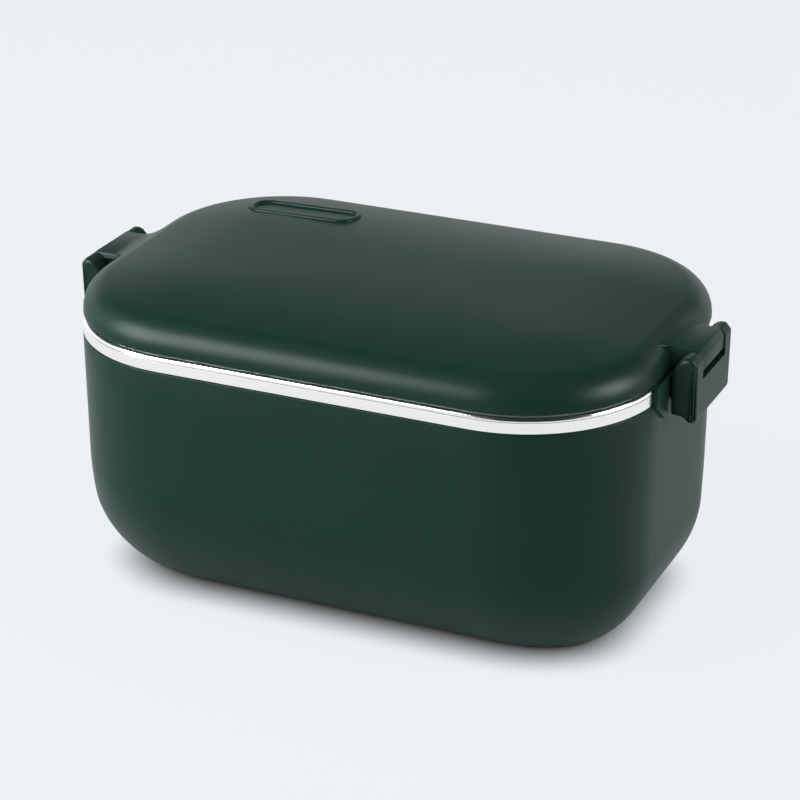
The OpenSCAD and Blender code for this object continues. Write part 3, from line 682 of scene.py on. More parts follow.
@dataclass
class OuterShell:
    """The moulded body with its catch pads, its inlet niche and the ring over the bottom cover.

    Attributes:
        half_x: Half the body's length at the band.
        half_y: Half its width there.
        corner_r: Radius of the plan's corners.
        wall: Wall thickness.
        top: Height of its upper edge.
        floor: Height of its underside.
        draft: How much the walls lean in for each mm down.
        round_foot: Depth that the wall's curve would reach.
        end_reach: How far that curve pulls the ends in.
        end_rise: Height of that curve on the ends.
        side_reach: How far it pulls the long sides in.
        side_rise: Its height there.
        end_curl: Exponent of the curve on the ends, 2 for an ellipse.
        side_curl: Its exponent on the long sides.
        catch_t: How far a catch pad stands out.
        lip_x: Where its lip ends.
        lip_half: Half the lip's width.
        niche_w: Width of the inlet's niche.
        niche_top: Height of its upper wall.
        niche_h: Its height.
        niche_y: Place of its back wall.
        hinge_z: Height of the inlet cover's hinge.
        inlet_screw_x: Places of the inlet's screws.
        lens_z: Height of the lamp's lens.
        base_x: Half the bottom cover's length.
        base_y: Half its width.
        base_r: Radius of its corners.
        base_t: Its thickness.
        boss_r: Radius of a screw boss.
    """

    half_x: float = 115
    half_y: float = 78.5
    corner_r: float = 53
    wall: float = 2.6
    top: float = -0.35
    floor: float = -100.842
    draft: float = 0.011
    round_foot: float = 103.91
    end_reach: float = 29.95
    end_rise: float = 35.41
    side_reach: float = 40.33
    side_rise: float = 51.96
    end_curl: float = 1.8
    side_curl: float = 1.6
    catch_t: float = 1.3
    lip_x: float = 119
    lip_half: float = 15
    niche_w: float = 38
    niche_top: float = -71
    niche_h: float = 19
    niche_y: float = 55
    hinge_z: float = -72.8
    inlet_screw_x: float = 13.6
    lens_z: float = -50
    base_x: float = 77.965
    base_y: float = 41.465
    base_r: float = 15.965
    base_t: float = 3
    boss_r: float = 3.2

    def plan(self, side_steps: int = 4) -> Outline:
        """Gives the corner axes of the body's plan."""
        return Outline(self.half_x - self.corner_r, self.half_y - self.corner_r, side_steps=side_steps)

    def inset(self, depth: float, reach: float, rise: float, curl: float) -> float:
        """Says how far in mm the wall has pulled in at a depth, by its curve's reach, height and exponent."""
        part = min(max((depth - self.round_foot + rise) / rise, 0), 1)
        return self.draft * depth + reach * (1 - (1 - part**curl) ** (1 / curl))

    def ring(self, depth: float, inside: float) -> Spot:
        """Gives the half sizes of the body's plan at a depth, set in by a margin."""
        end = self.inset(depth, self.end_reach, self.end_rise, self.end_curl)
        side = self.inset(depth, self.side_reach, self.side_rise, self.side_curl)
        return self.half_x - end - inside, self.half_y - side - inside

    def skin(self, name: str, inside: float = 0) -> Piece:
        """Models the closed outer form, as rings that go down and draw together.

        Args:
            name: Its name.
            inside: How far it lies inside the real surface.

        Returns:
            The closed form.
        """
        piece = self.plan().sweep(name, [(self.corner_r, self.top)])
        # Rings lie closer together the more the wall curves
        steady = [15, 30, 45]
        curve = [52 + 2.2 * k for k in range(14)] + [83.5 + 1.6 * k for k in range(9)]
        curve += [97.6, 98.8, 99.7, 100.3]
        last = (self.half_x, self.half_y)
        depth = -self.top
        for next_depth in steady + curve:
            size = self.ring(next_depth, inside)
            self.next_ring(piece, depth, next_depth, size, last)
            last, depth = size, next_depth
        # Small rounding into the flat underside
        for next_depth, pull in ((100.62, 1.1), (100.78, 2.2), (-self.floor, 3.6)):
            size = tuple(value - pull for value in self.ring(curve[-1], inside))
            self.next_ring(piece, depth, next_depth, size, last)
            last, depth = size, next_depth
        seal(piece, self.floor, self.top)
        return piece

    def next_ring(self, piece: Piece, depth: float, next_depth: float, size: Spot, last: Spot) -> None:
        """Extrudes the selected ring down and draws its ends, sides and corners in.

        Args:
            piece: The mesh that is open in edit mode.
            depth: Depth of the ring before in mm.
            next_depth: Depth of the new ring.
            size: Half sizes of the new ring.
            last: Half sizes of the ring before.
        """
        extend((0, 0, depth - next_depth))
        level = (BAND_Z - next_depth) * MM + NEAR
        for axis, half in enumerate((self.half_x, self.half_y)):
            axle = half - self.corner_r
            share = [1, 1, 1]
            share[axis] = (size[axis] - axle) / (last[axis] - axle)
            for side in (-1, 1):
                pick(piece, "VERT", lambda v: v.co.z < level and v.co[axis] * side > (axle + 0.01) * MM)
                centre = [0, 0, 0]
                centre[axis] = side * axle * MM
                bpy.ops.transform.resize(value=share, center_override=centre)
        pick(piece, "EDGE", lambda e: e.verts[0].co.z < level and e.verts[1].co.z < level)

    def plate(self, name: str, grow: float, low: float, high: float) -> Piece:
        """Makes a plate with the bottom cover's outline, larger all round by grow, between two heights."""
        plan = Outline(self.base_x - self.base_r, self.base_y - self.base_r, corner_steps=10, side_steps=1)
        return plan.solid(name, [(self.base_r + grow, low), (self.base_r + grow, high)])

    def catch_pad(self, end: End) -> Piece:
        """Models the pad beside the band with the lip that the latch hooks under.

        Args:
            end: The end it is on.

        Returns:
            The pad.
        """
        face, deep = self.half_x + self.catch_t, 3.4
        side = ((-20, -10), (20, -10), (23, -8.6), (32, -1), (32, 5.2), (31.6, 6.1), (30.6, 6.4))
        side += ((-30.6, 6.4), (-31.6, 6.1), (-32, 5.2), (-32, -1), (-23, -8.6))
        pad = slab("pad", [(face - deep, y, z) for y, z in side], (deep, 0, 0))
        soften(pad, 0.45, 2)
        root = self.half_x - 2
        side = ((root, 3.2), (face, 3.2), (self.lip_x, 0), (self.lip_x, -4), (root, -4))
        lip = slab("lip", [(x, -self.lip_half, z) for x, z in side], (0, 2 * self.lip_half, 0))
        merge(pad, lip, Join.ADD)
        room_r = self.corner_r + 0.15
        merge(pad, self.plan(1).solid("room", [(room_r, self.top), (room_r, 9)]), Join.CUT)
        to_end(pad, end)
        return pad

    def niche_tools(self) -> tuple[Piece, list[Piece]]:
        """Makes the block that walls the inlet's niche and what is cut out of it.

        Returns:
            The block and the cutters.
        """
        low = self.niche_top - self.niche_h
        half = self.niche_w / 2
        walls = block(
            "niche_walls", (-half - self.wall, self.niche_y - self.wall, low - self.wall),
            (half + self.wall, self.half_y, self.niche_top + self.wall),
        )
        hollow = block("niche", (-half, self.niche_y, low), (half, self.half_y + 9, self.niche_top))
        edit(hollow)
        pick(hollow, "EDGE", lambda e: abs(e.verts[0].co.y - e.verts[1].co.y) > MM)
        bpy.ops.mesh.bevel(offset=2.2 * MM, segments=5, affect="EDGES")
        leave_edit()
        z = self.niche_top - self.niche_h / 2 - 1
        behind = self.niche_y - 4
        cutters = [
            hollow,
            block("inlet_hole", (-10.3, behind, z - 6.05), (10.3, self.niche_y + 1, z + 6.05)),
            rod("lens_hole", (0, self.half_y - 8, self.lens_z), "Y", 12, 2.56),
            rod("hinge_hole", (-half - 1.6, self.niche_y + 3.3, self.hinge_z), "X", 2 * half + 3.2, 0.83),
        ]
        for x in (-self.inlet_screw_x, self.inlet_screw_x):
            cutters.append(rod("screw_hole", (x, behind, z), "Y", 5, 1.06))
        return walls, cutters

    def ledge(self) -> Piece:
        """Models the ring over the bottom cover with its six screw bosses.

        Returns:
            The ring.
        """
        cover_top = self.floor + self.base_t
        ring = self.plate("ledge", 2, self.floor + 0.2, cover_top + 2.5)
        merge(ring, self.plate("room", 0.3, self.floor - 5, cover_top + 0.1), Join.CUT)
        merge(ring, self.plate("hole", -6, self.floor - 5, cover_top + 5), Join.CUT)
        screw_x, screw_y = self.base_x - self.boss_r, self.base_y - 22
        spots = [(sx * screw_x, sy * screw_y) for sx in (-1, 1) for sy in (-1, 1)]
        spots += [(0, sy * (self.base_y - self.boss_r)) for sy in (-1, 1)]
        for x, y in spots:
            merge(ring, rod("boss", (x, y, cover_top + 0.1), "Z", 8.4, self.boss_r, 24), Join.ADD)
        for x, y in spots:
            merge(ring, rod("pilot", (x, y, self.floor - 1), "Z", 11, 1.51, 16), Join.CUT)
        return ring

    def build(self) -> Piece:
        """Builds the whole shell.

        Returns:
            The shell.
        """
        shell = self.skin("body_shell")
        edit(shell)
        level = (BAND_Z + self.top) * MM
        pick(shell, "FACE", lambda f: abs(f.calc_center_median().z - level) < NEAR)
        bpy.ops.mesh.delete(type="FACE")
        thicken(shell, self.wall)
        soften(shell, 0.35, 3, 60)
        walls, cutters = self.niche_tools()
        merge(walls, self.skin("niche_limit", 0.5), Join.KEEP)
        merge(shell, walls, Join.ADD)
        merge(shell, self.plate("opening", 0.3, self.floor - 5, self.floor + 6), Join.CUT)
        for end in End:
            merge(shell, self.catch_pad(end), Join.ADD)
        for cutter in cutters:
            merge(shell, cutter, Join.CUT)
        # The neck that stands up inside the band
        section = [(49.4, -3), (51.9, -3), (51.9, 5.0), (51.7, 5.2), (49.6, 5.2), (49.4, 5.0)]
        neck = self.plan().sweep("neck", section, closed=True)
        seal(neck)
        attach(shell, neck, self.ledge())
        smooth(shell)
        return shell


@dataclass
class SteelParts:
    """The fixed liner, whose folded rim is the band, and the container that lifts out.

    Attributes:
        axis_x: Places of the corner axes along X.
        axis_y: Places of the corner axes along Y.
        corner_r: Radius of the band's corners.
        band_h: Height of the band.
        steel: Thickness of the liner's sheet.
        fold_r: Radius of the band's upper edge.
        mouth_r: Distance of the liner's wall from the corner axis.
        depth: Depth of the liner under the band's lower edge.
        draft: Lean of the walls in degrees.
        heel_r: Radius between wall and floor.
    """

    axis_x: float = 62
    axis_y: float = 25.5
    corner_r: float = 53
    band_h: float = 6
    steel: float = 0.8
    fold_r: float = 1.4
    mouth_r: float = 43
    depth: float = 68
    draft: float = 2
    heel_r: float = 22

    def cup_path(self, mouth: float, lip: float, top: float, floor: float, heel: float) -> list[Spot]:
        """Gives the inner side of a drawn cup, from its flange to its floor.

        Args:
            mouth: Distance of the wall from the corner axis at the top.
            lip: Radius of the upper lip.
            top: Height of the flange.
            floor: Height of the floor.
            heel: Radius between wall and floor.

        Returns:
            The section's points.
        """
        lean = math.tan(math.radians(self.draft))
        heel_x = mouth - (top - floor - heel) * lean - heel
        points = arc((mouth + lip, top - lip), lip, 90, 180, 6)
        points += [(mouth - (top - z) * lean, z) for z in (-10, -25, -38)]
        points += arc((heel_x, floor + heel), heel, -self.draft, -90, 14)
        points += [(heel_x - 8, floor)]
        return points

    def close_cup(self, piece: Piece, floor: float, sheet: float) -> None:
        """Fills a cup's floor, thickens its sheet and shades it.

        Args:
            piece: The swept cup.
            floor: Height of its floor.
            sheet: Thickness of the sheet.
        """
        fill_ring(piece, floor)
        face_up(piece)
        leave_edit()
        thicken(piece, sheet)
        smooth(piece)

    def liner(self) -> Piece:
        """Models the liner from the band's lower edge over the fold to its floor.

        Returns:
            The liner.
        """
        r, h, fold = self.corner_r, self.band_h, self.fold_r
        path = [(r, 0.15), (r, 2), (r, h - fold - 0.35), (r - 0.12, h - fold - 0.22), (r - 0.12, h - fold)]
        path += arc((r - 0.12 - fold, h - fold), fold, 8, 90, 9)
        path += [(r - 4, h)]
        path += self.cup_path(self.mouth_r, 1.5, h, -self.depth, self.heel_r)
        piece = Outline(self.axis_x, self.axis_y).sweep("steel_liner_band", path)
        self.close_cup(piece, -self.depth, self.steel)
        return piece

    def container(self) -> Piece:
        """Models the food container with its rolled rim.

        Returns:
            The container.
        """
        top, sheet = self.band_h + 0.75, 0.7
        floor = 1.0 - self.depth
        mouth = self.mouth_r - 0.5 - sheet
        path = [(46.0, top - 0.55), (46.0, top - 0.3), (45.9, top - 0.1), (45.65, top), (44.5, top)]
        path += self.cup_path(mouth, 1.2, top, floor, self.heel_r - 1.2)
        piece = Outline(self.axis_x, self.axis_y).sweep("container_cup", path)
        self.close_cup(piece, floor, sheet)
        return piece


@dataclass
class Lid:
    """The domed lid with its two tabs and the pocket of the stopper.

    Attributes:
        axis_x: Places of the corner axes along X.
        axis_y: Places of the corner axes along Y.
        edge_r: Distance of the lid's edge from the corner axis.
        edge_z: Height of that edge.
        shoulder_r: Radius of the shoulder.
        shoulder_out: Distance of its centre from the corner axis.
        shoulder_z: Height of that centre.
        crown_slope: Slope in degrees where shoulder and crown meet.
        peak: Height of the middle of the dome.
        wall: Wall thickness.
        tab_w: Width of a tab.
        tab_x: Where a tab ends.
        tab_top: Height of a tab's upper side.
        tab_low: Height of its underside.
        flare_x: Where a tab starts to widen towards the dome.
        flare: Share by which it is wider 5 mm further in.
        vent_x: Place of the stopper across the lid.
        vent_y: Place of the stopper towards the back.
        vent_z: Height of its seat.
        vent_lean: Lean of that seat towards the back in degrees.
        vent_tilt: Its tilt towards the left end in degrees.
        vent_outline: Outline of the stopper, without its radius.
        vent_r: Radius of its ends.
        pocket: Depth of its pocket.
        pin_in: Distance of the latch's pin from the tab's end.
        pin_z: Height of that pin.
    """

    axis_x: float = 62
    axis_y: float = 25.5
    edge_r: float = 52.6
    edge_z: float = 6.8
    shoulder_r: float = 11
    shoulder_out: float = 41.6
    shoulder_z: float = 8.1
    crown_slope: float = 8
    peak: float = 22.45
    wall: float = 2.2
    tab_w: float = 24.8
    tab_x: float = 126.3
    tab_top: float = 15.0
    tab_low: float = 7.2
    flare_x: float = 115.6
    flare: float = 0.34
    vent_x: float = -62
    vent_y: float = 47.4
    vent_z: float = 20.8
    vent_lean: float = 4.163
    vent_tilt: float = 1.2
    vent_outline: Outline = Outline(16.8, 1.5, corner_steps=12, side_steps=1)
    vent_r: float = 6.5
    pocket: float = 1.6
    pin_in: float = 4.8
    pin_z: float = 11.0

    def dome(self) -> Piece:
        """Models the dome: a swept shoulder and crown, closed by rings that rise to the peak.

        Returns:
            The dome with its wall.
        """
        start = 90 - self.crown_slope
        path = [(self.edge_r, self.edge_z)]
        path += arc((self.shoulder_out, self.shoulder_z), self.shoulder_r, 0, start, 22)
        out, up = path[-1]
        crown_r = out / math.sin(math.radians(self.crown_slope))
        centre = up - crown_r * math.cos(math.radians(self.crown_slope))
        for r in (39, 34, 29, 24, 19, 14):
            path.append((r, centre + math.sqrt(crown_r**2 - r**2)))
        last_r, last_z = path[-1]
        piece = Outline(self.axis_x, self.axis_y).sweep("lid_dome", path)
        pick_ring(piece, last_z)
        size, height = 1.0, last_z
        for part in (0.86, 0.72, 0.58, 0.44, 0.3, 0.16, 0.05):
            rise = last_z + (self.peak - last_z) * (1 - part**2.5)
            extend((0, 0, rise - height))
            bpy.ops.transform.resize(value=(part / size, part / size, 1), center_override=(0, 0, 0))
            size, height = part, rise
        bpy.ops.mesh.edge_face_add()
        face_up(piece, max)
        leave_edit()
        thicken(piece, self.wall)
        soften(piece, 0.4, 3, 60)
        return piece

    def tab(self, end: End) -> Piece:
        """Models a tab whose upper side flows out of the dome.

        Args:
            end: The end it is on.

        Returns:
            The tab.
        """
        x, top = self.tab_x, self.tab_top
        side = [(108.9, 17.2)]
        # A quadratic curve from the dome's shoulder into the level top
        for k in range(9):
            t = k / 8
            a, b, c = (1 - t) ** 2, 2 * t * (1 - t), t**2
            side.append((a * 110.0 + b * 113.2 + c * 118, a * 17.03 + b * top + c * top))
        side += [(x - 1.9, top), (x, top - 2.6)]
        side += [(x, self.tab_low), (113.4, self.tab_low), (113.4, 8.1)]
        side += [(112.8, 11.4), (111.1, 14.4), (108.5, 16.5)]
        half = self.tab_w / 2
        piece = slab("tab", [(px, -half, pz) for px, pz in side], (0, self.tab_w, 0))
        scale_layers(piece, 0, lambda out: 1 + self.flare * (max(self.flare_x - out, 0) / 5) ** 2)
        soften(piece, 0.35, 3, 28)
        bore = rod("bore", (x - self.pin_in, -half - 1, self.pin_z), "Y", self.tab_w + 2, 1.53, 24)
        merge(piece, bore, Join.CUT)
        to_end(piece, end)
        return piece

    def seat(self, piece: Piece) -> None:
        """Leans a piece as the stopper leans and moves it to the stopper's seat."""
        place(piece, (self.vent_x, self.vent_y, self.vent_z + BAND_Z), (-self.vent_lean, -self.vent_tilt, 0))

    def build(self) -> Piece:
        """Builds the lid shell.

        Returns:
            The lid.
        """
        lid = self.dome()
        pocket_r = self.vent_r + 0.3
        low, high = -self.pocket - BAND_Z, 4 - BAND_Z
        pocket = self.vent_outline.solid("pocket", [(pocket_r, low), (pocket_r, high)])
        for cutter in (pocket, rod("vent", (0, 0, -12 - BAND_Z), "Z", 14, 4.3)):
            self.seat(cutter)
            merge(lid, cutter, Join.CUT)
        attach(lid, self.tab(End.LEFT), self.tab(End.RIGHT))
        smooth(lid)
        return lid

    def stopper(self) -> Piece:
        """Models the silicone stopper with its rounded rim and its plug.

        Returns:
            The stopper.
        """
        r = self.vent_r
        rim = [(r, -self.pocket), (r, 0.1), (r - 0.05, 0.4), (r - 0.2, 0.66), (r - 0.45, 0.84)]
        rim += [(r - 0.8, 0.9), (r - 1.15, 0.84), (r - 1.4, 0.66), (r - 1.58, 0.4), (r - 1.7, 0.1)]
        rim += [(r - 1.85, -0.1), (r - 2.1, -0.2), (r - 4.5, -0.2)]
        piece = self.vent_outline.solid("stopper_pill", [(out, up - BAND_Z) for out, up in rim])
        plug = rod("plug", (0, 0, -6.4 - BAND_Z), "Z", 5.4, 4)
        soften(plug, 0.5, 3)
        attach(piece, plug)
        self.seat(piece)
        smooth(piece)
        return piece


@dataclass
class Latch:
    """A swing latch: two cheeks, a notched plate, the lugs round the pin and the hook.

    Attributes:
        inner: Where the cheeks start.
        outer: Outer face of the plate.
        plate: Thickness of the plate.
        top: Top of the arms.
        low: Lower edge of the plate.
        half_w: Half its width.
        taper: How much narrower it is at the bottom, in all.
        cheek: Thickness of a cheek.
        notch_half: Half the width of the notch for the tab.
        notch_z: Lower edge of that notch.
        pin_x: Place of the pin.
        pin_z: Height of the pin.
        round_r: Rounding of its two ends.
        hook_x: Where the hook starts.
        hook_half: Half its width.
        hook_low: Its underside.
        hook_h: Its height.
    """

    inner: float = 116.9
    outer: float = 126.7
    plate: float = 2.8
    top: float = 14.7
    low: float = -11.1
    half_w: float = 21
    taper: float = 2.5
    cheek: float = 3
    notch_half: float = 12.8
    notch_z: float = 4.6
    pin_x: float = 121.5
    pin_z: float = 11.0
    round_r: float = 2.1
    hook_x: float = 119.3
    hook_half: float = 15
    hook_low: float = -7.3
    hook_h: float = 3

    def rounded(self, side: Sequence[Spot]) -> Piece:
        """Models a block with this side view whose two ends are rounded over.

        Args:
            side: Its side view, as X and Z from the band's lower edge.

        Returns:
            The block.
        """
        spots = [(x, z + BAND_Z) for x, z in side]
        middle = [(min(values) + max(values)) / 2 for values in zip(*spots)]
        reach = [(max(values) - min(values)) / 2 for values in zip(*spots)]
        piece = draw("latch", [(x, -self.half_w, z) for x, z in spots], closed=True)
        bpy.ops.mesh.edge_face_add()
        pivot = in_metres((middle[0], 0, middle[1]))
        turns = [math.radians(angle) for angle in range(0, 91, 15)]
        rings = [(self.round_r * (1 - math.cos(t)), self.round_r * (1 - math.sin(t))) for t in turns]
        full = [(2 * self.half_w - way, pull) for way, pull in reversed(rings)]
        last_way, last_pull = 0.0, 0.0
        for way, pull in rings + full:
            if way > last_way:
                extend((0, way - last_way, 0))
            share = [(size - pull) / (size - last_pull) for size in reach]
            bpy.ops.transform.resize(value=(share[0], 1, share[1]), center_override=pivot)
            last_way, last_pull = way, pull
        seal(piece)
        return piece

    def build(self, end: End) -> Piece:
        """Builds the latch of one end.

        Args:
            end: The end it hangs on.

        Returns:
            The latch.
        """
        inner, out, low, top = self.inner, self.outer, self.low, self.top
        side = [(inner + 0.9, low + 2.4), (inner + 0.25, low + 2.65), (inner, low + 3.3)]
        side += [(inner, top - 8.5), (inner + 0.4, top - 6.2), (inner + 1.3, top - 4)]
        side += [(inner + 2.7, top - 2), (inner + 4.2, top - 0.6), (inner + 5.8, top)]
        side += [(out - 2.6, top), (out - 2.1, top - 0.13), (out - 1.75, top - 0.45)]
        side += [(out - 0.35, top - 2), (out - 0.08, top - 2.4), (out, top - 2.9)]
        side += arc((out - 2.2, low + 2.2), 2.2, 0, -90, 6)
        side += [(out - self.plate - 0.4, low + 0.5), (out - self.plate - 2.2, low + 2.1)]
        piece = self.rounded(side)
        narrowing = self.taper / 2 / self.half_w / (top - low)
        scale_layers(piece, 2, lambda height: 1 - narrowing * (top + BAND_Z - height))
        inner_w = self.half_w - self.cheek
        back = out - self.plate
        hollow = block("hollow", (inner - 5, -inner_w, low - 5), (back, inner_w, self.notch_z - 0.2))
        merge(piece, hollow, Join.CUT)
        half = self.notch_half
        notch = block("notch", (inner - 5, -half, self.notch_z), (out + 5, half, top + 5))
        edit(notch)
        bottom = (BAND_Z + self.notch_z) * MM
        pick(notch, "EDGE", lambda e: all(abs(v.co.z - bottom) < MM / 10 for v in e.verts)
             and abs(e.verts[0].co.y - e.verts[1].co.y) < MM / 10)
        bpy.ops.mesh.bevel(offset=0.6 * MM, segments=4, affect="EDGES")
        leave_edit()
        merge(piece, notch, Join.CUT)
        merge(piece, rod("bore", (self.pin_x, -18.66, self.pin_z), "Y", 37.32, 1.56, 24), Join.CUT)
        half, hook_top = self.hook_half, self.hook_low + self.hook_h
        hook = block("hook", (self.hook_x, -half, self.hook_low), (back + 0.5, half, hook_top))
        merge(piece, hook, Join.ADD)
        soften(piece, 0.25, 2, 50)
        to_end(piece, end)
        smooth(piece)
        change(piece, "WEIGHTED_NORMAL", keep_sharp=True)
        return piece


@dataclass
class InletCover:
    """The silicone cover that swings down over the power inlet.

    Attributes:
        half_w: Half its width.
        back: Its inner face.
        thick: Its thickness.
        axis_z: Height of its hinge.
        low: Its lower edge.
    """

    half_w: float = 18
    back: float = 56.8
    thick: float = 3
    axis_z: float = -72.8
    low: float = -88.8

    def build(self) -> Piece:
        """Builds the cover with its barrel and its finger groove.

        Returns:
            The cover.
        """
        front = self.back + self.thick
        piece = block("cover_flap", (-self.half_w, self.back, self.low), (self.half_w, front, self.axis_z))
        edit(piece)
        foot = (BAND_Z + self.low) * MM
        pick(piece, "EDGE", lambda e: all(abs(v.co.z - foot) < MM / 10 for v in e.verts)
             and abs(e.verts[0].co.y - e.verts[1].co.y) > MM)
        bpy.ops.mesh.bevel(offset=2.6 * MM, segments=6, affect="EDGES")
        leave_edit()
        middle = self.back + self.thick / 2
        barrel = rod("barrel", (-self.half_w, middle, self.axis_z), "X", 2 * self.half_w, self.thick / 2, 40)
        merge(piece, barrel, Join.ADD)
        groove = rod("groove", (-8, front + 0.8, self.low + 3), "X", 16, 1.4)
        soften(groove, 0.5, 3)
        merge(piece, groove, Join.CUT)
        soften(piece, 0.4, 3, 50)
        merge(piece, rod("bore", (-19, middle, self.axis_z), "X", 38, 0.88, 20), Join.CUT)
        smooth(piece)
        return piece


@dataclass
class Feet:
    """Four round silicone feet, modelled once and copied.

    Attributes:
        x: Their distance from the middle along X.
        y: Their distance along Y.
        radius: Their radius.
        low: Their underside.
        tall: Their height.
    """

    x: float = 57.965
    y: float = 25.465
    radius: float = 7
    low: float = -102.042
    tall: float = 2.2

    def build(self) -> dict[str, Piece]:
        """Builds the four feet.

        Returns:
            Each foot by its CAD node's name.
        """
        first = rod("foot", (0, 0, self.low), "Z", self.tall, self.radius, 48)
        edit(first)
        pick(first, "FACE", lambda f: f.normal.z < -0.9)
        bpy.ops.mesh.inset(thickness=1.6 * MM, depth=-0.25 * MM)
        leave_edit()
        soften(first, 0.35, 3, 50)
        smooth(first)
        feet = {}
        for row, sy in (("front", -1), ("back", 1)):
            for column, sx in (("left", -1), ("right", 1)):
                foot = copy(first, f"silicone_foot_{row}_{column}")
                place(foot, (sx * self.x, sy * self.y, 0))
                feet[f"foot_{row}_{column}"] = foot
        bpy.data.meshes.remove(first.data)
        return feet


# The studio


@dataclass
class Studio:
    """Camera, floor, lamps and world.

    Attributes:
        turn: Camera's turn from the front in degrees.
        rise: Camera's height angle in degrees.
        distance: Its distance in mm.
        lens: Focal length in mm on a 36 mm sensor.
        target: What it looks at, from the band's lower edge.
        floor_colour: Colour of the paper floor.
        floor_glow: Share of that colour which the floor shows whatever falls on it.
        contact: Reach in mm of the soft shadow where the object nears the floor.
        contact_depth: How deep that shadow is.
        mirror_contact: Its reach where the object reflects the floor.
        horizon: Brightness of the room near the floor.
        zenith: Brightness of the room above.
        dark_side: What is left of it on the camera's side.
        fade: Heights, from 0 to 1, between which the room's brightness fades.
        dark_turn: How far the dark side is turned on from the camera in degrees.
        dark_edge: How squarely a direction faces that side where it starts and where it is darkest.
        card_size: Size of the black card in mm.
        card_at: Its place in mm.
        card_turn: Its turn in degrees.
    """

    turn: float = 24.14
    rise: float = 23.871
    distance: float = 1062.287
    lens: float = 123.64
    target: Point = (1.543, -0.679, -31.1)
    floor_colour: str = "#F1F5F8"
    floor_glow: float = 0.9
    contact: float = 14
    contact_depth: float = 1.8
    mirror_contact: float = 130
    horizon: float = 1.5
    zenith: float = 0.04
    dark_side: float = 0.25
    fade: Spot = (0.1, 0.47)
    dark_turn: float = 12
    dark_edge: Spot = (-0.1, 0.7)
    card_size: Spot = (360, 440)
    card_at: Point = (225, -300, 300)
    card_turn: float = 30

    def camera(self) -> None:
        """Places the camera at the photograph's angle."""
        turn, rise = math.radians(self.turn), math.radians(self.rise)
        away = (math.sin(turn) * math.cos(rise), -math.cos(turn) * math.cos(rise), math.sin(rise))
        centre = (self.target[0], self.target[1], self.target[2] + BAND_Z)
        deselect()
        bpy.ops.object.camera_add()
        camera = bpy.context.active_object
        camera.name = "camera"
        camera.data.lens = self.lens
        camera.data.sensor_width = 36
        camera.data.clip_start = 0.01
        camera.location = in_metres([c + a * self.distance for c, a in zip(centre, away)])
        camera.rotation_euler = (math.pi / 2 - rise, 0, turn)
        bpy.context.scene.camera = camera

    def floor(self) -> None:
        """Lays a pale paper floor that keeps the object's shadow."""
        deselect()
        bpy.ops.mesh.primitive_plane_add(size=8)
        paper = bpy.context.active_object
        paper.name = "paper_floor"
        material = new_material("matte_paper")
        tree = material.node_tree
        tree.nodes.clear()
        colour = linear(self.floor_colour)
        matte = add_node(tree, "ShaderNodeBsdfDiffuse", Color=colour).outputs[0]
        ray = add_node(tree, "ShaderNodeLightPath").outputs
        reach = remap(tree, ray["Is Camera Ray"], (0, 1), in_metres((self.mirror_contact, self.contact)))
        near = add_node(tree, "ShaderNodeAmbientOcclusion", Distance=reach).outputs["AO"]
        dark = maths(tree, "POWER", remap(tree, near, (0.08, 1), (1, 0)), self.contact_depth)
        pale = add_node(
            tree, "ShaderNodeEmission", Color=colour, Strength=maths(tree, "SUBTRACT", 1.0, dark)
        ).outputs[0]
        mirrored = maths(tree, "MAXIMUM", ray["Is Glossy Ray"], ray["Is Transmission Ray"])
        seen = maths(tree, "MAXIMUM", ray["Is Camera Ray"], mirrored)
        share = maths(tree, "MULTIPLY", seen, self.floor_glow)
        mix = add_node(tree, "ShaderNodeMixShader", i0=share, i1=matte, i2=pale).outputs[0]
        add_node(tree, "ShaderNodeOutputMaterial", Surface=mix)
        paper.data.materials.append(material)

    def lamp(
        self, name: str, at: Point, size: Spot, radiance: float, use: Use, aim: Point | None = None
    ) -> None:
        """Hangs a soft box.

        Args:
            name: Its name.
            at: Its place in mm.
            size: Its width and height in mm.
            radiance: How bright its face is, where 1 is white.
            use: What it is for.
            aim: The point that it faces, or straight down.
        """
        deselect()
        bpy.ops.object.light_add(type="AREA", location=in_metres(at))
        light = bpy.context.active_object
        light.name = name
        light.data.shape = "RECTANGLE"
        light.data.size, light.data.size_y = in_metres(size)
        light.data.energy = radiance * math.pi * light.data.size * light.data.size_y
        light.visible_glossy = use is Use.SHEEN
        light.visible_diffuse = use is Use.LIGHT
        if aim:
            way = [b - a for a, b in zip(at, aim)]
            light.rotation_euler = (
                math.atan2(math.hypot(way[0], way[1]), -way[2]), 0, math.atan2(way[1], way[0]) - math.pi / 2
            )

    def flag(self) -> None:
        """Stands a black card beside the camera's view, which darkens the front right corner."""
        deselect()
        bpy.ops.mesh.primitive_plane_add(size=1)
        card = bpy.context.active_object
        card.name = "black_card"
        card.scale = in_metres((*self.card_size, 1))
        place(card, self.card_at, (90, 0, self.card_turn))
        card.visible_camera = False
        material = new_material("black_velvet")
        shader = material.node_tree.nodes["Principled BSDF"]
        shader.inputs["Base Color"].default_value = linear("#0C0C0C")
        shader.inputs["Roughness"].default_value = 1.0
        card.data.materials.append(material)

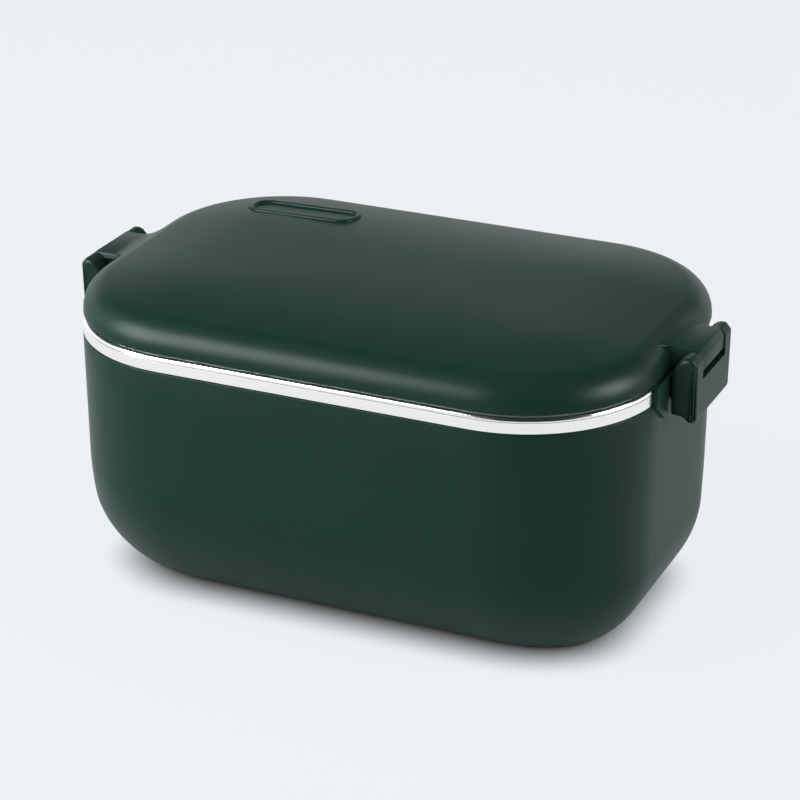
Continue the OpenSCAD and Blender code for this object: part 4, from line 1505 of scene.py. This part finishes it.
    def world(self) -> None:
        """Fills the room with light, bright at the horizon and dim above, before a pale background."""
        world = bpy.data.worlds.new("room")
        bpy.context.scene.world = world
        world.use_nodes = True
        tree = world.node_tree
        tree.nodes.clear()
        way = add_node(tree, "ShaderNodeTexCoord").outputs["Generated"]
        height = add_node(tree, "ShaderNodeSeparateXYZ", Vector=way).outputs["Z"]
        level = remap(tree, height, self.fade, (self.horizon, self.zenith), "SMOOTHSTEP")
        turn = math.radians(self.turn + self.dark_turn)
        front = (math.sin(turn), -math.cos(turn), 0)
        facing = add_node(tree, "ShaderNodeVectorMath", {"operation": "DOT_PRODUCT"}, i0=way, i1=front)
        side = remap(tree, facing.outputs["Value"], self.dark_edge, (1.0, self.dark_side), "SMOOTHSTEP")
        level = maths(tree, "MULTIPLY", level, side)
        seen = add_node(tree, "ShaderNodeLightPath").outputs["Is Camera Ray"]
        room = add_node(tree, "ShaderNodeBackground", Color=(1, 1, 1, 1), Strength=level).outputs[0]
        colour = linear(self.floor_colour)
        pale = add_node(tree, "ShaderNodeBackground", Color=colour, Strength=1.0).outputs[0]
        mix = add_node(tree, "ShaderNodeMixShader", i0=seen, i1=room, i2=pale).outputs[0]
        add_node(tree, "ShaderNodeOutputWorld", Surface=mix)

    def build(self) -> None:
        """Sets up the whole studio."""
        self.camera()
        self.floor()
        self.world()
        middle = (0, 0, 80)
        self.lamp("top_light", (0, 0, 2200), (2400, 2400), 0.85, Use.LIGHT)
        self.lamp("left_light", (-640, -680, 690), (760, 520), 5.0, Use.LIGHT, middle)
        self.lamp("right_light", (840, 80, 610), (380, 450), 2.7, Use.LIGHT, middle)
        self.lamp("left_sheen", (-700, -740, 540), (760, 640), 25, Use.SHEEN, middle)
        self.lamp("right_sheen", (860, 60, 350), (380, 440), 23, Use.SHEEN, middle)
        self.flag()
        bpy.context.scene.view_settings.view_transform = "Standard"


# The CAD nodes that are shown as they are, by the finish they get
CAD_FINISHES = {
    "bottom_plastic": ("bottom_cover",),
    "fastener_steel": (
        "bottom_screws", "heater_screws", "inlet_screws", "inlet_cover_pin", "latch_pin_left",
        "latch_pin_right",
    ),
    "heater_aluminium": ("heating_plate", "ptc_heater"),
    "brushed_steel": ("heater_clamp", "fuse_clip"),
    "inlet_plastic": ("thermostat", "inlet_housing"),
    "fuse_ceramic": ("thermal_fuse",),
    "pad_felt": ("insulation_pad",),
    "wire_brown": ("wire_live", "wire_fuse", "wire_heater"),
    "wire_blue": ("wire_neutral",),
    "contact_brass": ("inlet_contacts",),
    "lens_amber": ("indicator_lens",),
    "board_green": ("indicator_board",),
    "cover_plastic": ("lid_inner_cover",),
    "seal_silicone": ("lid_seal",),
}


def main() -> None:
    """Builds the lunch box's pieces in order and reports each."""
    logging.basicConfig(level=logging.INFO, format="%(name)s: %(message)s")
    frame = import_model()
    shelf = Shelf()
    Studio().build()
    for slot, nodes in CAD_FINISHES.items():
        for node in nodes:
            shelf.dress(frame["nodes"][node], slot)
    present(OuterShell().build(), shelf, "shell_plastic", "base", "outer_shell")
    steel = SteelParts()
    present(steel.liner(), shelf, "polished_steel", "base", "steel_liner")
    present(steel.container(), shelf, "brushed_steel", "container", "food_container")
    lid = Lid()
    present(lid.build(), shelf, "shell_plastic", "lid", "lid_shell")
    present(lid.stopper(), shelf, "silicone_green", "steam_stopper", "steam_stopper")
    for end in End:
        side = end.name.lower()
        latch = Latch().build(end)
        latch.name = f"swing_latch_{side}"
        present(latch, shelf, "latch_plastic", f"latch_{side}", f"latch_{side}")
    present(InletCover().build(), shelf, "silicone_green", "inlet_cover", "inlet_cover")
    for node, foot in Feet().build().items():
        present(foot, shelf, "foot_rubber", "base", node)
    deselect()


if __name__ == "__main__":
    main()
